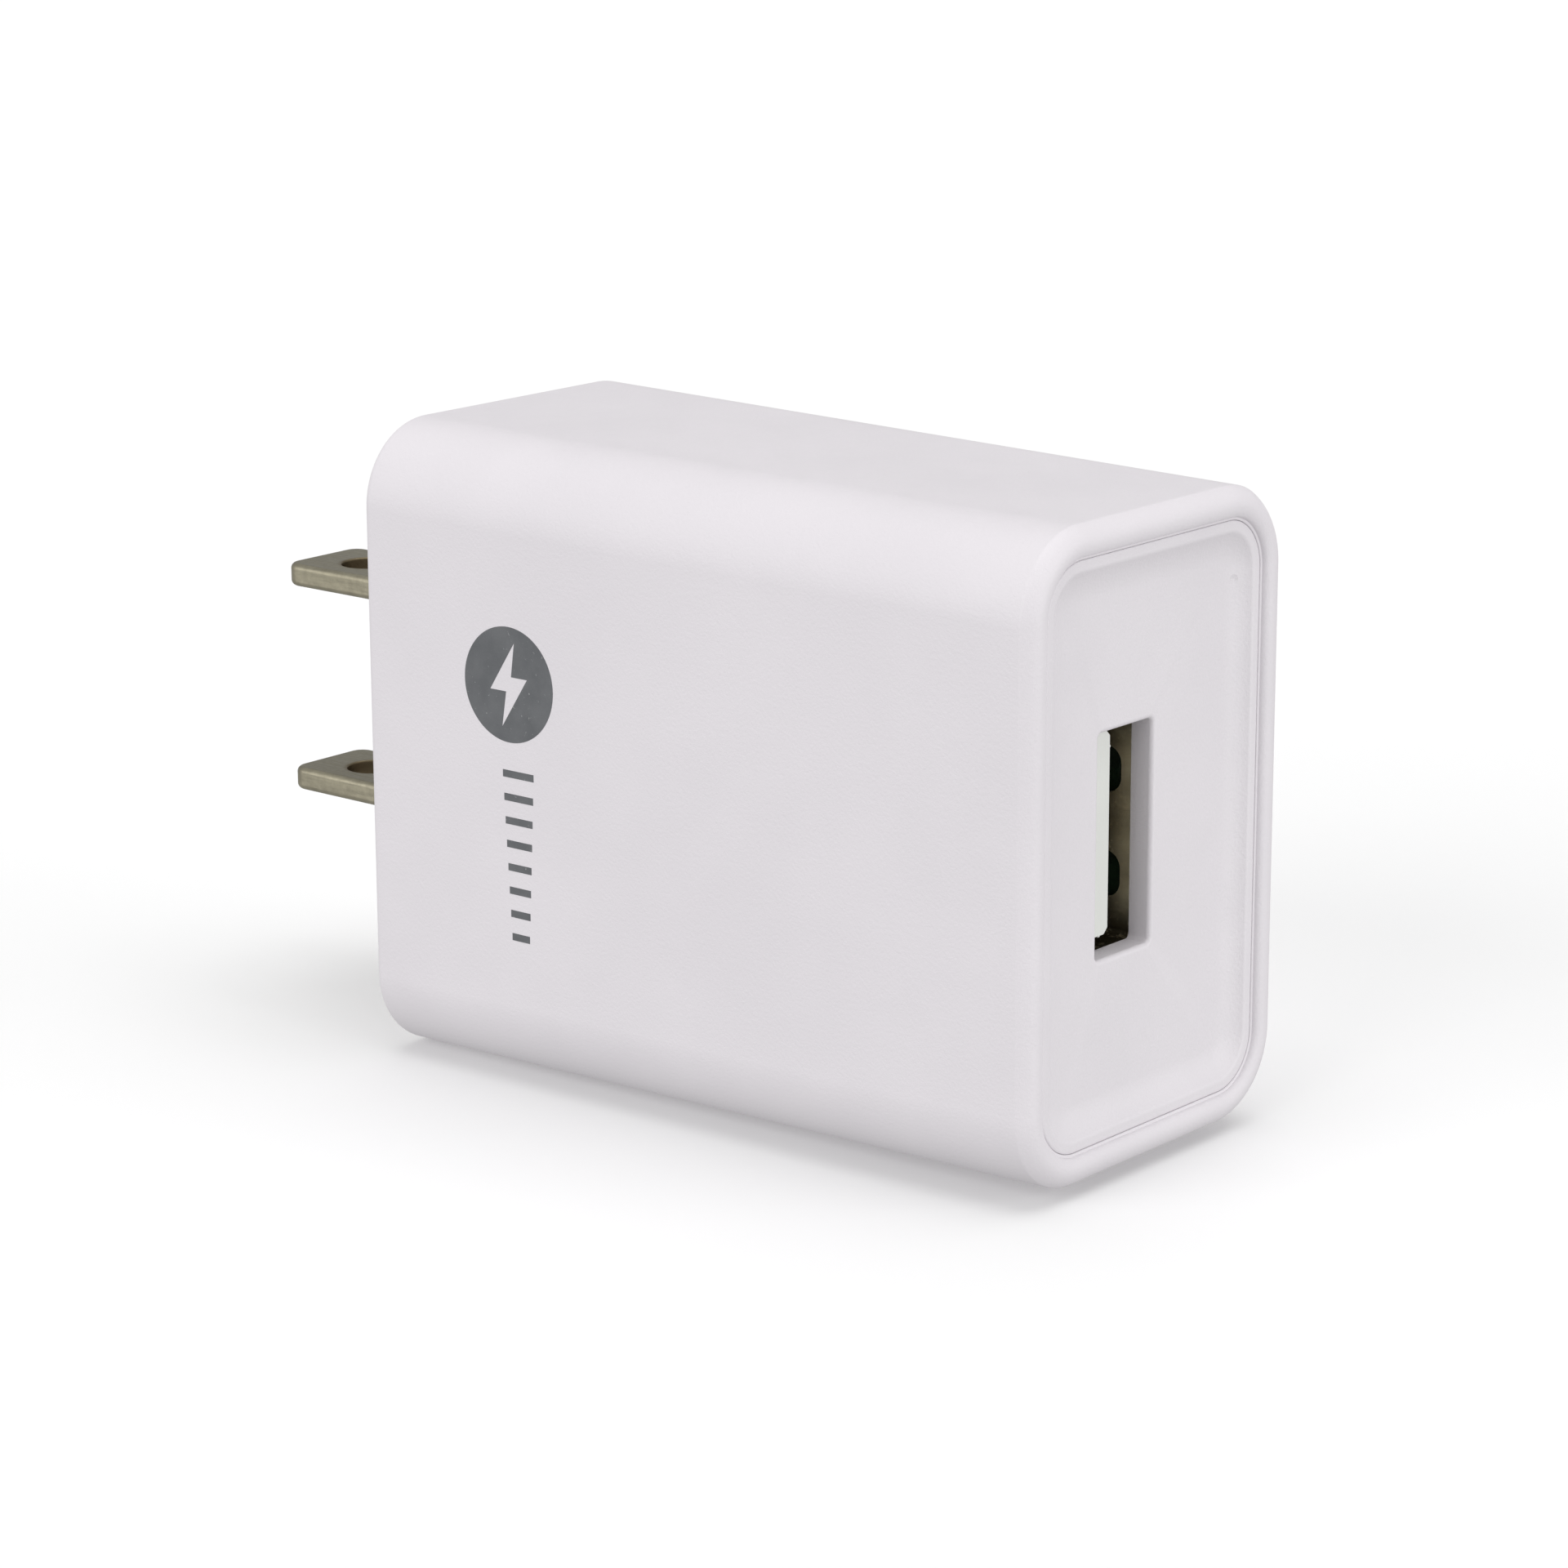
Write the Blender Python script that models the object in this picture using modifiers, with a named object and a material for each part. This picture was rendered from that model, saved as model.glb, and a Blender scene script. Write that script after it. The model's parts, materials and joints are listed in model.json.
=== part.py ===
"""Plug-in USB wall charger: a tapered white housing with a recessed front cover, one USB-A port and
two flat mains blades, with the board, the transformer and the other parts that it holds.

Frame: the origin is the middle of the face that meets the wall, midway between the blades. +Y points
into the wall, -Y out of the USB port, +X to the right and +Z up. All lengths are in metres.
"""
import math

import bmesh
import bpy
from mathutils import Matrix, Vector

MM = 0.001

# Housing
BODY_DEPTH = 46.8 * MM          # wall face to the crest of the front rim
REAR_SIZE = (24.2 * MM, 37.0 * MM)
FRONT_SIZE = (22.8 * MM, 35.6 * MM)
CORNER_RADIUS = 4.8 * MM
REAR_FILLET = 0.6 * MM
REAR_WALL = 2.4 * MM
RIM_CREST = 1.05 * MM           # outer side to the crest of the rim
RIM_OUTER_DROP = 0.75 * MM
RIM_INNER = 1.70 * MM           # outer side to the edge of the front opening
RIM_INNER_DROP = 0.38 * MM
RECESS_DEPTH = 5.9 * MM         # crest to the ledge that the cover's skirt seats on
LEDGE_INSET = 2.4 * MM
CORNER_STEPS = 7
EDGE_STEPS = 5

# Gaps between pieces that touch on the real object
GAP = 0.3 * MM
SMALL_GAP = 0.2 * MM

# Front cover
COVER_INSET = RIM_INNER + GAP
COVER_DROP = 0.40 * MM          # rim crest to the cover's border
COVER_EDGE = 0.15 * MM
BORDER_WIDTH = 0.20 * MM
RIDGE_RADIUS = 0.40 * MM
PANEL_FILLET = 2.85 * MM
SLOPE = math.radians(37)        # steepest slope between the border and the panel
PANEL_DROP = COVER_DROP + (RIDGE_RADIUS + PANEL_FILLET) * (1 - math.cos(SLOPE))
PANEL_PLATE = 1.4 * MM
SKIRT_WALL = 1.2 * MM
FRONT_Y = -BODY_DEPTH
PANEL_Y = FRONT_Y + PANEL_DROP
COVER_BACK_Y = PANEL_Y + PANEL_PLATE

# USB-A receptacle
PORT_X = -1.6 * MM
SLOT_SIZE = (4.8 * MM, 12.35 * MM)
SHELL_INNER = (5.12 * MM, 12.5 * MM)
SHELL_SHEET = 0.3 * MM
SHELL_LENGTH = 13.0 * MM
SHELL_FRONT_Y = COVER_BACK_Y + GAP
SHELL_REAR_Y = SHELL_FRONT_Y + SHELL_LENGTH
SHELL_CORNER = (0.4 * MM, 0.7 * MM)     # radii inside and outside
SPRING_WINDOW_WIDTH = 2.55 * MM
SPRING_WINDOW_LENGTH = 7.0 * MM
SPRING_WINDOW_CORNER = 0.9 * MM
SPRING_WINDOW_INSET = 0.45 * MM         # shell's front edge to the window
SPRING_Z = 2.9 * MM
LEAF_WIDTH = 1.5 * MM
LEAF_INSET = 1.8 * MM                   # window's front edge to the leaf's free end
TONGUE_SIZE = (1.8 * MM, 11.2 * MM)
TONGUE_X = -2.55 * MM
TONGUE_Z = 0.3 * MM
TONGUE_FRONT_Y = PANEL_Y + 1.0 * MM
TONGUE_EDGE = 0.3 * MM
PLUG_DEPTH = 11.6 * MM
CONTACT_INSET = 0.9 * MM                # tongue's front to the contacts
CONTACT_TAIL = 0.9 * MM                 # shell's rear edge to the contacts' ends
CONTACT_Z = {"usb_contact_power": 3.5 * MM, "usb_contact_data_minus": 1.0 * MM,
             "usb_contact_data_plus": -1.0 * MM, "usb_contact_ground": -3.5 * MM}
CONTACT_WIDTH = 1.0 * MM
CONTACT_SHEET = 0.2 * MM
CONTACT_GROOVE = 0.15 * MM

# Mains blades
BLADE_PITCH = 12.7 * MM
BLADE_LENGTH = 16.0 * MM
BLADE_WIDTH = 6.1 * MM
BLADE_THICKNESS = 1.4 * MM
BLADE_EDGE = 0.25 * MM
BLADE_TIP_RADIUS = 1.0 * MM
BLADE_HOLE_Y = 11.9 * MM
BLADE_HOLE_RADIUS = 1.6 * MM
BLADE_HOLE_SIDES = 24
ROOT_STEP = 0.1 * MM            # the root's faces lie this far inside the blade's
ROOT_END_Y = 0.1 * MM
ROOT_SHOULDER_Y = -1.05 * MM
BLADE_SEAT_DEPTH = 1.2 * MM
BLADE_TAIL_WIDTH = 4.0 * MM
BLADE_TAIL_Y = -6.4 * MM
BLADE_CLEARANCE = 0.15 * MM
WIRE_RADIUS = 0.65 * MM

# Main board
BOARD_X = (1.6 * MM, 2.8 * MM)
BOARD_Y = (-43.6 * MM, -7.0 * MM)
BOARD_HALF_HEIGHT = 13.9 * MM
PART_SIDE_X = BOARD_X[0] - GAP          # where parts on the board's -X side start
CHIP_SIDE_X = BOARD_X[1] + GAP          # where chips on its +X side start
RAIL_THICKNESS = 0.8 * MM
RAIL_Z = (13.1 * MM, 16.6 * MM)
RAIL_Y = (-39.5 * MM, -1.5 * MM)
FILM_X = 6.4 * MM
FILM_THICKNESS = 0.4 * MM
FILM_Y = (-40.5 * MM, -12.0 * MM)
FILM_HALF_HEIGHT = 13.4 * MM

# Transformer
CORE_Y = -23.3 * MM
CORE_HALF_WIDTH = 6.5 * MM
CORE_HALF_HEIGHT = 6.3 * MM
CORE_HALF_THICKNESS = 2.5 * MM
CORE_BAR = 1.6 * MM
CORE_CENTRE_LEG = 1.4 * MM
WINDING_HALF_DEPTH = 4.95 * MM
BOBBIN_WALL = 0.4 * MM
BOBBIN_FLANGE = 0.5 * MM
WINDING_THICKNESS = 0.45 * MM
TAPE_THICKNESS = 0.2 * MM
CORE_X = PART_SIDE_X - WINDING_HALF_DEPTH

# Parts on the board's -X side. A place is the Y and Z of a part's centre.
INPUT_CAPACITOR_SIZE = (4.0 * MM, 11.6 * MM)        # radius, length
INPUT_CAPACITOR_PLACE = (-12.4 * MM, 7.0 * MM)      # of the upper one
OUTPUT_CAPACITOR_RADIUS = 3.0 * MM
OUTPUT_CAPACITOR_LENGTHS = (10.4 * MM, 9.0 * MM)
OUTPUT_CAPACITOR_PLACES = ((-37.2 * MM, 10.4 * MM), (-37.6 * MM, -10.4 * MM))
CAN_EDGE = 0.5 * MM
CAN_FOOT = 0.2 * MM
GROOVE_HEIGHT = 1.6 * MM                            # from the can's foot
GROOVE_HALF_WIDTH = 0.5 * MM
GROOVE_DEPTH = 0.4 * MM
SLEEVE_WALL = 0.12 * MM
SLEEVE_CLEARANCE = 0.1 * MM
CHOKE_PLACE = (-25.6 * MM, -9.8 * MM)
CHOKE_HALF_HEIGHT = 4.0 * MM
CHOKE_RADIUS = 3.0 * MM
CHOKE_WAIST = 1.6 * MM
CHOKE_FLANGE = 1.0 * MM
CHOKE_EDGE = 0.1 * MM
RESISTOR_PLACE = (-19.0 * MM, 10.9 * MM)
RESISTOR_HALF_LENGTH = 4.2 * MM
SAFETY_CAPACITOR_PLACE = (-27.4 * MM, 10.9 * MM)
SAFETY_CAPACITOR_SIZE = (3.6 * MM, 1.5 * MM)        # radius, half thickness
LEAD_RADIUS = 0.3 * MM
LEAD_SPACING = 2.2 * MM

# Chips on the board's +X side: centre in Y and Z, size in X, Y and Z, leads on each long side
CHIPS = {
    "bridge_rectifier": ((-16.5 * MM, 8.0 * MM), (1.6 * MM, 4.7 * MM, 4.0 * MM), 2),
    "switching_controller": ((-18.5 * MM, -6.0 * MM), (1.6 * MM, 4.9 * MM, 3.9 * MM), 4),
    "output_diode": ((-35.0 * MM, 4.0 * MM), (2.2 * MM, 4.3 * MM, 2.7 * MM), 1),
    "snubber_diode": ((-24.5 * MM, -9.5 * MM), (1.2 * MM, 2.6 * MM, 1.6 * MM), 1),
}
CHIP_RESISTOR_SIZE = (0.55 * MM, 2.0 * MM, 1.25 * MM)
CHIP_RESISTOR_PLACES = ((-23.0, 3.0), (-23.0, 5.4), (-26.5, -2.0), (-29.5, -6.0), (-38.5, -3.0),
                        (-38.5, -6.0))
CHIP_CAPACITOR_SIZE = (0.9 * MM, 2.0 * MM, 1.25 * MM)
CHIP_CAPACITOR_PLACES = ((-20.0, 0.0), (-29.5, 3.0), (-33.0, -3.0), (-39.0, 8.5))
CHIP_EDGE = 0.12 * MM
CHIP_LEAD_REACH = 0.9 * MM
CHIP_LEAD_THICKNESS = 0.2 * MM
CHIP_LEAD_WIDTH = 0.4 * MM

parts = bpy.data.collections.new("usb_wall_charger")
cutters = bpy.data.collections.new("cutters")
materials = {}


def clear_scene():
    for item in list(bpy.data.objects):
        bpy.data.objects.remove(item, do_unlink=True)
    bpy.context.scene.collection.children.link(parts)
    bpy.context.scene.collection.children.link(cutters)


def make_material(name, colour, roughness, metallic=0.0):
    material = bpy.data.materials.new(name)
    material.use_nodes = True
    shader = material.node_tree.nodes["Principled BSDF"]
    shader.inputs["Base Color"].default_value = (*colour, 1.0)
    shader.inputs["Roughness"].default_value = roughness
    shader.inputs["Metallic"].default_value = metallic
    material.diffuse_color = (*colour, 1.0)
    materials[name] = material


def make_materials():
    make_material("white_shell", (0.75, 0.74, 0.75), 0.45)
    make_material("white_cover", (0.75, 0.74, 0.75), 0.40)
    make_material("blade_metal", (0.46, 0.43, 0.37), 0.35, 1.0)
    make_material("shell_metal", (0.42, 0.40, 0.33), 0.30, 1.0)
    make_material("contact_gold", (0.80, 0.62, 0.28), 0.25, 1.0)
    make_material("lead_metal", (0.70, 0.70, 0.70), 0.30, 1.0)
    make_material("port_plastic", (0.66, 0.67, 0.65), 0.45)
    make_material("board_laminate", (0.10, 0.32, 0.14), 0.50)
    make_material("clear_film", (0.85, 0.80, 0.60), 0.35)
    make_material("ferrite", (0.09, 0.09, 0.10), 0.60)
    make_material("bobbin_plastic", (0.06, 0.06, 0.06), 0.50)
    make_material("copper_wire", (0.72, 0.36, 0.20), 0.30, 1.0)
    make_material("yellow_tape", (0.85, 0.70, 0.12), 0.35)
    make_material("can_metal", (0.75, 0.76, 0.78), 0.25, 1.0)
    make_material("black_sleeve", (0.05, 0.05, 0.07), 0.35)
    make_material("blue_ceramic", (0.08, 0.24, 0.55), 0.40)
    make_material("resistor_body", (0.42, 0.52, 0.42), 0.50)
    make_material("chip_plastic", (0.04, 0.04, 0.04), 0.50)
    make_material("chip_ceramic", (0.48, 0.38, 0.26), 0.50)
    make_material("red_insulation", (0.55, 0.05, 0.04), 0.45)
    make_material("black_insulation", (0.04, 0.04, 0.04), 0.45)


def add_object(name, mesh, material=None, location=(0, 0, 0), smooth=True):
    item = bpy.data.objects.new(name, mesh)
    item.location = location
    if material is None:
        item.hide_render = True
        item.display_type = "WIRE"
        cutters.objects.link(item)
        return item
    if smooth:
        mesh.shade_smooth()
        mesh.set_sharp_from_angle(angle=math.radians(35))
    mesh.materials.append(materials[material])
    parts.objects.link(item)
    return item


def mesh_from(builder, name):
    """Runs builder on a new bmesh and returns it as a mesh with its faces pointing out."""
    work = bmesh.new()
    builder(work)
    bmesh.ops.recalc_face_normals(work, faces=work.faces)
    mesh = bpy.data.meshes.new(name)
    work.to_mesh(mesh)
    work.free()
    return mesh


def box(name, low, high, material=None, bevel=0.0, segments=2):
    """A box between two corners, with its edges rounded if bevel is given."""
    low, high = Vector(low), Vector(high)
    size = high - low

    def build(work):
        bmesh.ops.create_cube(work, size=1.0, matrix=Matrix.Diagonal((*size, 1.0)))

    item = add_object(name, mesh_from(build, name), material, (low + high) / 2)
    if bevel:
        rounding = item.modifiers.new("rounding", "BEVEL")
        rounding.width = bevel
        rounding.segments = segments
    return item


def turned(name, profile, centre, axis, material, sides=32):
    """Turns (radius, height) points about an axis. The points run from top to bottom."""
    def build(work):
        points = [work.verts.new((radius, 0.0, height)) for radius, height in profile]
        for first, second in zip(points, points[1:]):
            work.edges.new((first, second))

    item = add_object(name, mesh_from(build, name), material, centre, smooth=False)
    item.rotation_mode = "QUATERNION"
    item.rotation_quaternion = Vector((0, 0, 1)).rotation_difference(Vector(axis))
    screw = item.modifiers.new("turn", "SCREW")
    screw.steps = sides
    screw.render_steps = sides
    screw.use_merge_vertices = True
    screw.merge_threshold = 0.01 * MM
    screw.use_normal_calculate = True
    screw.use_smooth_shade = True
    return item


def plate(name, outlines, plane, low, high, material=None):
    """An outline, and any holes in it, in the two axes of plane ("XY" or "YZ"), between low and high."""
    curve = bpy.data.curves.new(name, "CURVE")
    curve.dimensions = "2D"
    curve.fill_mode = "BOTH"
    curve.extrude = (high - low) / 2
    for outline in outlines:
        spline = curve.splines.new("POLY")
        spline.points.add(len(outline) - 1)
        for point, (a, b) in zip(spline.points, outline):
            point.co = (a, b, 0.0, 1.0)
        spline.use_cyclic_u = True
    turns = {"XY": Matrix.Identity(3), "YZ": Matrix(((0, 0, 1), (1, 0, 0), (0, 1, 0)))}
    turn = turns[plane].to_4x4()
    turn.translation = turn @ Vector((0, 0, (low + high) / 2))
    holder = bpy.data.objects.new(name + "_outline", curve)
    cutters.objects.link(holder)
    holder.matrix_world = turn
    bpy.context.view_layer.update()
    seen = holder.evaluated_get(bpy.context.evaluated_depsgraph_get())
    mesh = bpy.data.meshes.new_from_object(seen)
    work = bmesh.new()
    work.from_mesh(mesh)
    bmesh.ops.remove_doubles(work, verts=work.verts, dist=0.001 * MM)
    bmesh.ops.dissolve_limit(work, angle_limit=math.radians(0.5), verts=work.verts, edges=work.edges)
    bmesh.ops.recalc_face_normals(work, faces=work.faces)
    work.to_mesh(mesh)
    work.free()
    bpy.data.objects.remove(holder)
    item = add_object(name, mesh, material)
    item.matrix_world = turn
    return item


def wire(name, points, radius, material):
    """A round wire along straight stretches between points."""
    curve = bpy.data.curves.new(name, "CURVE")
    curve.dimensions = "3D"
    curve.bevel_depth = radius
    curve.bevel_resolution = 2
    curve.use_fill_caps = True
    spline = curve.splines.new("POLY")
    spline.points.add(len(points) - 1)
    for point, place in zip(spline.points, points):
        point.co = (*place, 1.0)
    curve.materials.append(materials[material])
    item = bpy.data.objects.new(name, curve)
    parts.objects.link(item)
    return item


def smooth_path(points, pieces=6):
    """Points along a Catmull-Rom curve through the given points."""
    places = [Vector(p) for p in points]
    places = [2 * places[0] - places[1]] + places + [2 * places[-1] - places[-2]]
    path = []
    for a, b, c, d in zip(places, places[1:], places[2:], places[3:]):
        for step in range(pieces):
            t = step / pieces
            path.append(0.5 * (2 * b + (c - a) * t + (2 * a - 5 * b + 4 * c - d) * t * t
                               + (3 * b - a - 3 * c + d) * t ** 3))
    return path + [places[-2]]


def combine(item, other, operation, solver="EXACT"):
    cut = item.modifiers.new(other.name, "BOOLEAN")
    cut.operation = operation
    cut.object = other
    cut.solver = solver


def subtract(item, other):
    combine(item, other, "DIFFERENCE")


def unite(item, other, solver="EXACT"):
    combine(item, other, "UNION", solver)


def rounded_ring(half_width, half_height, radius, y, x=0.0):
    """The points of a rounded rectangle in a plane across the Y axis."""
    ring = []
    for quarter, (sx, sz) in enumerate(((1, 1), (-1, 1), (-1, -1), (1, -1))):
        for step in range(CORNER_STEPS + 1):
            angle = math.radians(90 * (quarter + step / CORNER_STEPS))
            ring.append((x + sx * (half_width - radius) + radius * math.cos(angle), y,
                         sz * (half_height - radius) + radius * math.sin(angle)))
    return ring


def body_ring(inset, y):
    """A section of the tapered body at depth y, inset from its outer surface."""
    along = -y / BODY_DEPTH
    half_width, half_height = ((rear + (front - rear) * along) / 2 - inset
                               for rear, front in zip(REAR_SIZE, FRONT_SIZE))
    radius = max(CORNER_RADIUS - inset, 0.8 * MM)
    return rounded_ring(half_width, half_height, radius, y)


def loft(name, rings, material):
    """Joins rings that have the same number of points, and closes the first and the last."""
    def build(work):
        rows = [[work.verts.new(point) for point in ring] for ring in rings]
        for first, second in zip(rows, rows[1:]):
            for k, corner in enumerate(first):
                after = (k + 1) % len(first)
                work.faces.new((corner, first[after], second[after], second[k]))
        work.faces.new(rows[0])
        work.faces.new(rows[-1])

    return add_object(name, mesh_from(build, name), material)


def quarter_steps(steps=EDGE_STEPS):
    return [math.pi / 2 * step / steps for step in range(steps + 1)]


def make_housing():
    rings = [body_ring(REAR_FILLET * (1 - math.sin(a)), -REAR_FILLET * (1 - math.cos(a)))
             for a in quarter_steps()]
    rings += [body_ring(RIM_CREST * (1 - math.cos(a)), FRONT_Y + RIM_OUTER_DROP * (1 - math.sin(a)))
              for a in quarter_steps(7)]
    inner_width = RIM_INNER - RIM_CREST
    rings += [body_ring(RIM_CREST + inner_width * math.sin(a), FRONT_Y + RIM_INNER_DROP * (1 - math.cos(a)))
              for a in quarter_steps()[1:]]
    ledge_y = FRONT_Y + RECESS_DEPTH
    rings += [body_ring(RIM_INNER, ledge_y), body_ring(LEDGE_INSET, ledge_y),
              body_ring(LEDGE_INSET, -REAR_WALL)]
    housing = loft("housing", rings, "white_shell")

    # rails that hold the upper and lower edges of the board
    for side, sign in (("upper", 1), ("lower", -1)):
        for face, x in (("left", BOARD_X[0] - GAP - RAIL_THICKNESS), ("right", BOARD_X[1] + GAP)):
            low_z, high_z = sorted((sign * RAIL_Z[0], sign * RAIL_Z[1]))
            rail = box(f"rail_{side}_{face}", (x, RAIL_Y[0], low_z), (x + RAIL_THICKNESS, RAIL_Y[1], high_z))
            unite(housing, rail)

    for name, z in (("upper", BLADE_PITCH / 2), ("lower", -BLADE_PITCH / 2)):
        half_width = BLADE_TAIL_WIDTH / 2 + BLADE_CLEARANCE
        half_height = BLADE_THICKNESS / 2 + BLADE_CLEARANCE
        slot = box(f"blade_slot_{name}", (-half_width, -2 * REAR_WALL, z - half_height),
                   (half_width, REAR_WALL, z + half_height))
        subtract(housing, slot)
        half_width = BLADE_WIDTH / 2 + BLADE_CLEARANCE
        seat = box(f"blade_seat_{name}", (-half_width, -BLADE_SEAT_DEPTH, z - half_height),
                   (half_width, REAR_WALL, z + half_height))
        subtract(housing, seat)


def make_front_cover():
    inset = COVER_INSET
    ridge_inset = inset + COVER_EDGE + BORDER_WIDTH
    fillet_inset = ridge_inset + (RIDGE_RADIUS + PANEL_FILLET) * math.sin(SLOPE)
    slope_steps = [SLOPE * step / 6 for step in range(7)]
    border_y = FRONT_Y + COVER_DROP

    rings = [body_ring(fillet_inset - PANEL_FILLET * math.sin(a), PANEL_Y - PANEL_FILLET * (1 - math.cos(a)))
             for a in slope_steps]
    rings += [body_ring(ridge_inset + RIDGE_RADIUS * math.sin(a), border_y + RIDGE_RADIUS * (1 - math.cos(a)))
              for a in reversed(slope_steps[:-1])]
    rings += [body_ring(inset + COVER_EDGE * (1 - math.sin(a)), border_y + COVER_EDGE * (1 - math.cos(a)))
              for a in quarter_steps(3)]
    skirt_end = FRONT_Y + RECESS_DEPTH - GAP
    rings += [body_ring(inset, skirt_end), body_ring(inset + SKIRT_WALL, skirt_end),
              body_ring(inset + SKIRT_WALL, COVER_BACK_Y)]
    cover = loft("front_cover", rings, "white_cover")

    half_width, half_height = SLOT_SIZE[0] / 2, SLOT_SIZE[1] / 2
    slot = box("usb_slot", (PORT_X - half_width, PANEL_Y - PANEL_PLATE, -half_height),
               (PORT_X + half_width, COVER_BACK_Y + PANEL_PLATE, half_height))
    subtract(cover, slot)


def make_blades():
    """Each blade has a thinner root, pressed flat, which passes the wall and ends in a narrow tail."""
    half_width, half_tail, half = BLADE_WIDTH / 2, BLADE_TAIL_WIDTH / 2, BLADE_THICKNESS / 2
    outline = [(-half_width, ROOT_END_Y), (half_width, ROOT_END_Y)]
    for sign, turn in ((1, 0), (-1, math.pi / 2)):
        for angle in quarter_steps():
            outline.append((sign * (half_width - BLADE_TIP_RADIUS) + BLADE_TIP_RADIUS * math.cos(angle + turn),
                            BLADE_LENGTH - BLADE_TIP_RADIUS * (1 - math.sin(angle + turn))))
    hole = [(BLADE_HOLE_RADIUS * math.cos(a), BLADE_HOLE_Y + BLADE_HOLE_RADIUS * math.sin(a))
            for a in (2 * math.pi * step / BLADE_HOLE_SIDES for step in range(BLADE_HOLE_SIDES))]
    half_root, root_top = half_width - ROOT_STEP, ROOT_END_Y + BLADE_THICKNESS
    root_outline = [(-half_root, ROOT_SHOULDER_Y), (-half_tail, ROOT_SHOULDER_Y), (-half_tail, BLADE_TAIL_Y),
                    (half_tail, BLADE_TAIL_Y), (half_tail, ROOT_SHOULDER_Y), (half_root, ROOT_SHOULDER_Y),
                    (half_root, root_top), (-half_root, root_top)]
    for name, z in (("upper", BLADE_PITCH / 2), ("lower", -BLADE_PITCH / 2)):
        blade = plate(f"blade_{name}", [outline, hole], "XY", z - half, z + half, "blade_metal")
        rounding = blade.modifiers.new("rounding", "BEVEL")
        rounding.width = BLADE_EDGE
        rounding.segments = 2
        rounding.limit_method = "ANGLE"
        rounding.angle_limit = math.radians(60)
        root = plate(f"root_{name}", [root_outline], "XY", z - half + ROOT_STEP, z + half - ROOT_STEP)
        unite(blade, root, "MANIFOLD")


def make_blade_wires():
    """Short insulated leads from beside the blades' tails to the board's chip side."""
    start_x = BLADE_TAIL_WIDTH / 2 + GAP + WIRE_RADIUS
    end_x = CHIP_SIDE_X + WIRE_RADIUS
    for name, sign, material in (("live_wire", 1, "red_insulation"), ("neutral_wire", -1, "black_insulation")):
        z = sign * BLADE_PITCH / 2
        route = [(start_x, -3.6 * MM, z), (start_x, -5.2 * MM, z), (end_x + 1.0 * MM, -6.6 * MM, z * 1.08),
                 (end_x + 0.4 * MM, -8.4 * MM, z * 1.22), (end_x, -10.2 * MM, z * 1.35)]
        wire(name, smooth_path(route), WIRE_RADIUS, material)


def make_board():
    box("main_board", (BOARD_X[0], BOARD_Y[0], -BOARD_HALF_HEIGHT),
        (BOARD_X[1], BOARD_Y[1], BOARD_HALF_HEIGHT), "board_laminate")
    box("insulation_sheet", (FILM_X, FILM_Y[0], -FILM_HALF_HEIGHT),
        (FILM_X + FILM_THICKNESS, FILM_Y[1], FILM_HALF_HEIGHT), "clear_film")


def leaf_slit(z):
    """The slit round three sides of a contact leaf: a window with rounded front corners, less the leaf."""
    start, radius = SHELL_FRONT_Y + SPRING_WINDOW_INSET, SPRING_WINDOW_CORNER
    end, half = start + SPRING_WINDOW_LENGTH, SPRING_WINDOW_WIDTH / 2
    slit = [(end, z + half)]
    slit += [(start + radius * (1 - math.sin(a)), z + half - radius * (1 - math.cos(a)))
             for a in quarter_steps()]
    slit += [(start + radius * (1 - math.cos(a)), z - half + radius * (1 - math.sin(a)))
             for a in quarter_steps()]
    slit += [(end, z - half), (end, z - LEAF_WIDTH / 2), (start + LEAF_INSET, z - LEAF_WIDTH / 2),
             (start + LEAF_INSET, z + LEAF_WIDTH / 2), (end, z + LEAF_WIDTH / 2)]
    return slit


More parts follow.
